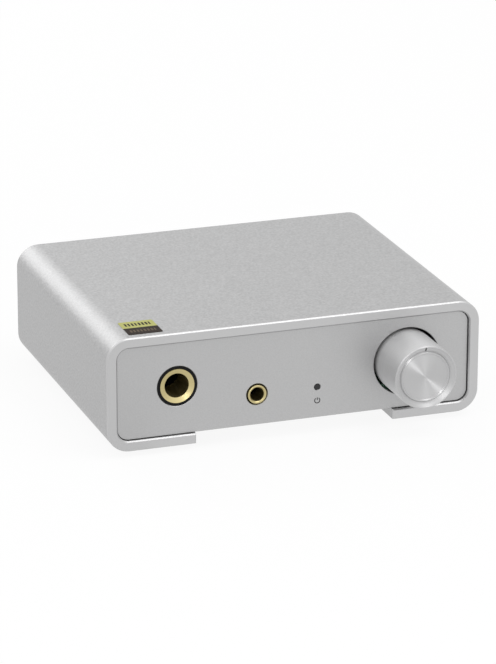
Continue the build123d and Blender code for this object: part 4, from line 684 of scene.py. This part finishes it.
class CONVERTER_OT_mouldings(Operator):
    """Finish the moulded housings, the feet, the chips and the film and ceramic capacitors"""
    bl_idname = "converter.mouldings"
    bl_label = "Mouldings"

    def execute(self, context):
        housing = {"roughness": 0.42, "grain": 0.22 * MM, "height": 0.01 * MM}
        insulator = {"roughness": 0.38, "grain": 0.3 * MM, "height": 0.004 * MM}
        give(textured_plastic("black_moulding", (0.006, 0.006, 0.0065), **housing),
             "jack_6_35_housing", "jack_3_5_housing", "line_out_bodies", "usb_c_tongue",
             "gain_switch_housing", "pot_power_switch")
        give(textured_plastic("grey_lever", (0.10, 0.10, 0.102), **housing), "gain_slider")
        give(textured_plastic("white_moulding", (0.72, 0.71, 0.68), contrast=0.03, **insulator),
             "line_out_insulator_left")
        give(textured_plastic("red_moulding", (0.42, 0.012, 0.012), contrast=0.05, **insulator),
             "line_out_insulator_right")
        give(textured_plastic("foot_rubber", (0.016, 0.016, 0.017), roughness=0.62, grain=0.3 * MM,
                              height=0.02 * MM),
             "feet")
        give(textured_plastic("phenolic", (0.20, 0.085, 0.03), roughness=0.5, grain=0.4 * MM,
                              height=0.006 * MM, contrast=0.3),
             "pot_wafers", "pot_rotors")
        give(textured_plastic("chip_moulding", (0.014, 0.014, 0.015), roughness=0.55,
                              grain=0.12 * MM, height=0.006 * MM),
             "usb_bridge_chip", "converter_chip", "opamp_chips", "regulator_chips", "power_inductors",
             "output_relay", "chip_resistors")
        give(textured_plastic("film_case", (0.40, 0.03, 0.02), roughness=0.4, grain=0.3 * MM,
                              height=0.004 * MM, contrast=0.05),
             "film_capacitors")
        give(textured_plastic("ceramic", (0.42, 0.30, 0.17), roughness=0.45, grain=0.2 * MM,
                              height=0.003 * MM),
             "ceramic_capacitors")
        return {"FINISHED"}


class CONVERTER_OT_board_and_prints(Operator):
    """Finish the board, the foil label, the status light and the knob's painted mark"""
    bl_idname = "converter.board_and_prints"
    bl_label = "Board and prints"

    def execute(self, context):
        give(board_finish(), "main_board")
        give(foil_finish(), "foil_label")
        give(smooth_finish("smoked_window", (0.006, 0.006, 0.007), metallic=0.0, roughness=0.12),
             "light_pipe")
        give(smooth_finish("lamp_resin", (0.62, 0.55, 0.28), metallic=0.0, roughness=0.18), "led")
        give(smooth_finish("black_paint", (0.010, 0.010, 0.011), metallic=0.0, roughness=0.40),
             "knob_pointer")
        return {"FINISHED"}


class CONVERTER_OT_spun_face(Operator):
    """Make the knob's spun face with its fine rings and rounded ridge"""
    bl_idname = "converter.spun_face"
    bl_label = "Spun face"

    def execute(self, context):
        looks = context.scene.converter_finishes
        detail = context.scene.converter_details
        face_y = SPUN_LOW.y + detail.face_depth
        flat_radius = (SPUN_HIGH.x - SPUN_LOW.x) / 2 - detail.ridge_width
        rings = round(flat_radius / detail.ring_pitch)
        finish = turned_silver("spun_metal", looks.spun_colour, KNOB_AXIS, pitch=0.05 * MM,
                               roughness=0.42, height=0.0006 * MM, anisotropic=0.95, contrast=0.0)
        piece = grown_mesh(empty_piece("spun_knob_face"), spun_face_tree(), {
            "Centre X": KNOB_AXIS.x, "Centre Z": KNOB_AXIS.z, "Face": face_y, "Floor": SPUN_HIGH.y,
            "Edge": face_y + detail.edge_drop, "Flat radius": flat_radius,
            "Ridge width": detail.ridge_width, "Ridge height": detail.ridge_height,
            "Ring pitch": flat_radius / rings, "Ring depth": detail.ring_depth,
            "Segments": detail.segments, "Ring rows": rings * detail.ring_steps,
            "Ridge rows": detail.ridge_rows, "Finish": finish})
        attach(piece, "volume_knob")
        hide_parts("knob_inlay")
        return {"FINISHED"}


class CONVERTER_OT_power_sign(Operator):
    """Print the plain power sign under the status light"""
    bl_idname = "converter.power_sign"
    bl_label = "Power sign"

    def execute(self, context):
        detail = context.scene.converter_details
        light = middle("light_pipe")
        centre = Vector((light.x, light.z - detail.mark_drop))
        radius, stroke, opening = detail.mark_radius, detail.mark_stroke, detail.mark_opening
        bar_top, bar_foot = 1.12 * radius, 0.12 * radius
        ink = smooth_finish("grey_print", (0.030, 0.030, 0.032), metallic=0.0, roughness=0.5)

        def on_panel(point, height):
            return (centre.x + point.x, PANEL_FRONT - height, centre.y + point.y)

        sweep = math.tau - 2 * opening
        angles = [opening + sweep * i / detail.mark_steps for i in range(detail.mark_steps + 1)]
        arc = [Vector((radius * math.sin(angle), radius * math.cos(angle))) for angle in angles]
        bar = [Vector((0, bar_top)), Vector((0, bar_foot))]
        verts, faces = join(raised_ribbon(line, stroke, detail.ink, on_panel) for line in (arc, bar))
        mesh_object("power_sign", verts, faces, ink, "case")
        return {"FINISHED"}


class CONVERTER_OT_studio(Operator):
    """Set up the floor, the soft lights and the camera"""
    bl_idname = "converter.studio"
    bl_label = "Studio"

    def execute(self, context):
        scene, studio = context.scene, context.scene.converter_studio
        self.place_camera(scene, studio)
        self.lay_floor(scene, studio)
        self.light(scene, studio)
        scene.view_settings.view_transform = "Standard"
        return {"FINISHED"}

    def place_camera(self, scene, studio):
        """Point the camera at the aim, from its distance and angles."""
        azimuth, elevation = studio.azimuth, studio.elevation
        forward = Vector((-math.sin(azimuth) * math.cos(elevation),
                          math.cos(azimuth) * math.cos(elevation),
                          -math.sin(elevation)))
        right = Vector((math.cos(azimuth), math.sin(azimuth), 0))
        up = right.cross(forward)
        turned_right = right * math.cos(studio.roll) + up * math.sin(studio.roll)
        turned_up = up * math.cos(studio.roll) - right * math.sin(studio.roll)
        aim = Vector((studio.aim[0], SLEEVE_LOW.y + studio.aim[1], SLEEVE_LOW.z + studio.aim[2]))
        axes = Matrix((turned_right, turned_up, -forward)).transposed()
        camera = bpy.data.objects.new("camera", bpy.data.cameras.new("camera"))
        camera.matrix_world = Matrix.Translation(aim - forward * studio.distance) @ axes.to_4x4()
        camera.data.sensor_width = SENSOR_SIDE
        camera.data.lens = studio.lens
        camera.data.clip_start = 0.01
        scene.collection.objects.link(camera)
        scene.camera = camera

    def lay_floor(self, scene, studio):
        """Lay a pale floor that looks nearly white and still takes the object's shadow."""
        half = studio.floor_size / 2
        mesh = bpy.data.meshes.new("floor")
        corners = [(-half, -half, 0), (half, -half, 0), (half, half, 0), (-half, half, 0)]
        mesh.from_pydata(corners, [], [(0, 1, 2, 3)])
        floor = bpy.data.objects.new("floor", mesh)
        scene.collection.objects.link(floor)
        shader = Shader("pale_floor", studio.floor_colour, roughness=0.9, Specular_IOR_Level=0.0)
        share = math_node(shader.tree, "MULTIPLY", seen_directly(shader.tree), studio.floor_glow)
        glow = shader.node("ShaderNodeEmission", {"Color": WHITE, "Strength": 1.0})
        both = shader.node("ShaderNodeMixShader",
                           {0: share, 1: shader.bsdf.outputs[0], 2: glow.outputs[0]})
        out = shader.tree.nodes["Material Output"]
        shader.tree.links.new(both.outputs[0], out.inputs["Surface"])
        mesh.materials.append(shader.material)

    def light(self, scene, studio):
        """Light evenly from all round, with a white sky where it is seen, and add the lamps."""
        world = bpy.data.worlds.new("studio")
        world.use_nodes = True
        tree = world.node_tree
        tree.nodes.clear()
        seen = seen_directly(tree)
        level = math_node(tree, "MULTIPLY", math_node(tree, "SUBTRACT", 1.0, seen), studio.sky_level)
        strength = math_node(tree, "ADD", level, seen)
        sky = add_node(tree, "ShaderNodeBackground", {"Color": WHITE, "Strength": strength})
        out = add_node(tree, "ShaderNodeOutputWorld")
        tree.links.new(sky.outputs[0], out.inputs["Surface"])
        scene.world = world
        for name, (size, place) in LAMPS.items():
            self.lamp(scene, name + "_light", getattr(studio, name + "_power"), size, place)

    def lamp(self, scene, name, power, size, place):
        """Add a soft rectangular lamp, turned to the middle of the sleeve and unseen itself."""
        data = bpy.data.lights.new(name, "AREA")
        data.shape = "RECTANGLE"
        data.size, data.size_y = size
        data.energy = power
        toward = Vector((0, 0, SLEEVE_HIGH.z / 2)) - Vector(place)
        turn = toward.to_track_quat("-Z", "Y").to_matrix().to_4x4()
        lamp = bpy.data.objects.new(name, data)
        lamp.matrix_world = Matrix.Translation(place) @ turn
        lamp.visible_camera = False
        scene.collection.objects.link(lamp)


class CONVERTER_PT_sidebar(Panel):
    """The settings and the steps that build the looks"""
    bl_idname = "CONVERTER_PT_sidebar"
    bl_label = "Desktop converter"
    bl_space_type = "VIEW_3D"
    bl_region_type = "UI"
    bl_category = "Converter"

    def draw(self, context):
        for settings in (context.scene.converter_finishes, context.scene.converter_details,
                         context.scene.converter_studio):
            box = self.layout.box()
            for name in settings.bl_rna.properties.keys():
                if name not in ("rna_type", "name"):
                    box.prop(settings, name)
        for step in STEPS:
            self.layout.operator(step.bl_idname)


STEPS = (CONVERTER_OT_silver_parts, CONVERTER_OT_sockets_and_fittings, CONVERTER_OT_mouldings,
         CONVERTER_OT_board_and_prints, CONVERTER_OT_spun_face, CONVERTER_OT_power_sign,
         CONVERTER_OT_studio)
CLASSES = (StudioSettings, FinishSettings, DetailSettings) + STEPS + (CONVERTER_PT_sidebar,)


def register():
    for cls in CLASSES:
        bpy.utils.register_class(cls)
    bpy.types.Scene.converter_studio = PointerProperty(type=StudioSettings)
    bpy.types.Scene.converter_finishes = PointerProperty(type=FinishSettings)
    bpy.types.Scene.converter_details = PointerProperty(type=DetailSettings)


def unregister():
    del bpy.types.Scene.converter_details
    del bpy.types.Scene.converter_finishes
    del bpy.types.Scene.converter_studio
    for cls in reversed(CLASSES):
        bpy.utils.unregister_class(cls)


def main():
    register()
    bpy.ops.converter.silver_parts()
    bpy.ops.converter.sockets_and_fittings()
    bpy.ops.converter.mouldings()
    bpy.ops.converter.board_and_prints()
    bpy.ops.converter.spun_face()
    bpy.ops.converter.power_sign()
    bpy.ops.converter.studio()


if __name__ == "__main__":
    main()
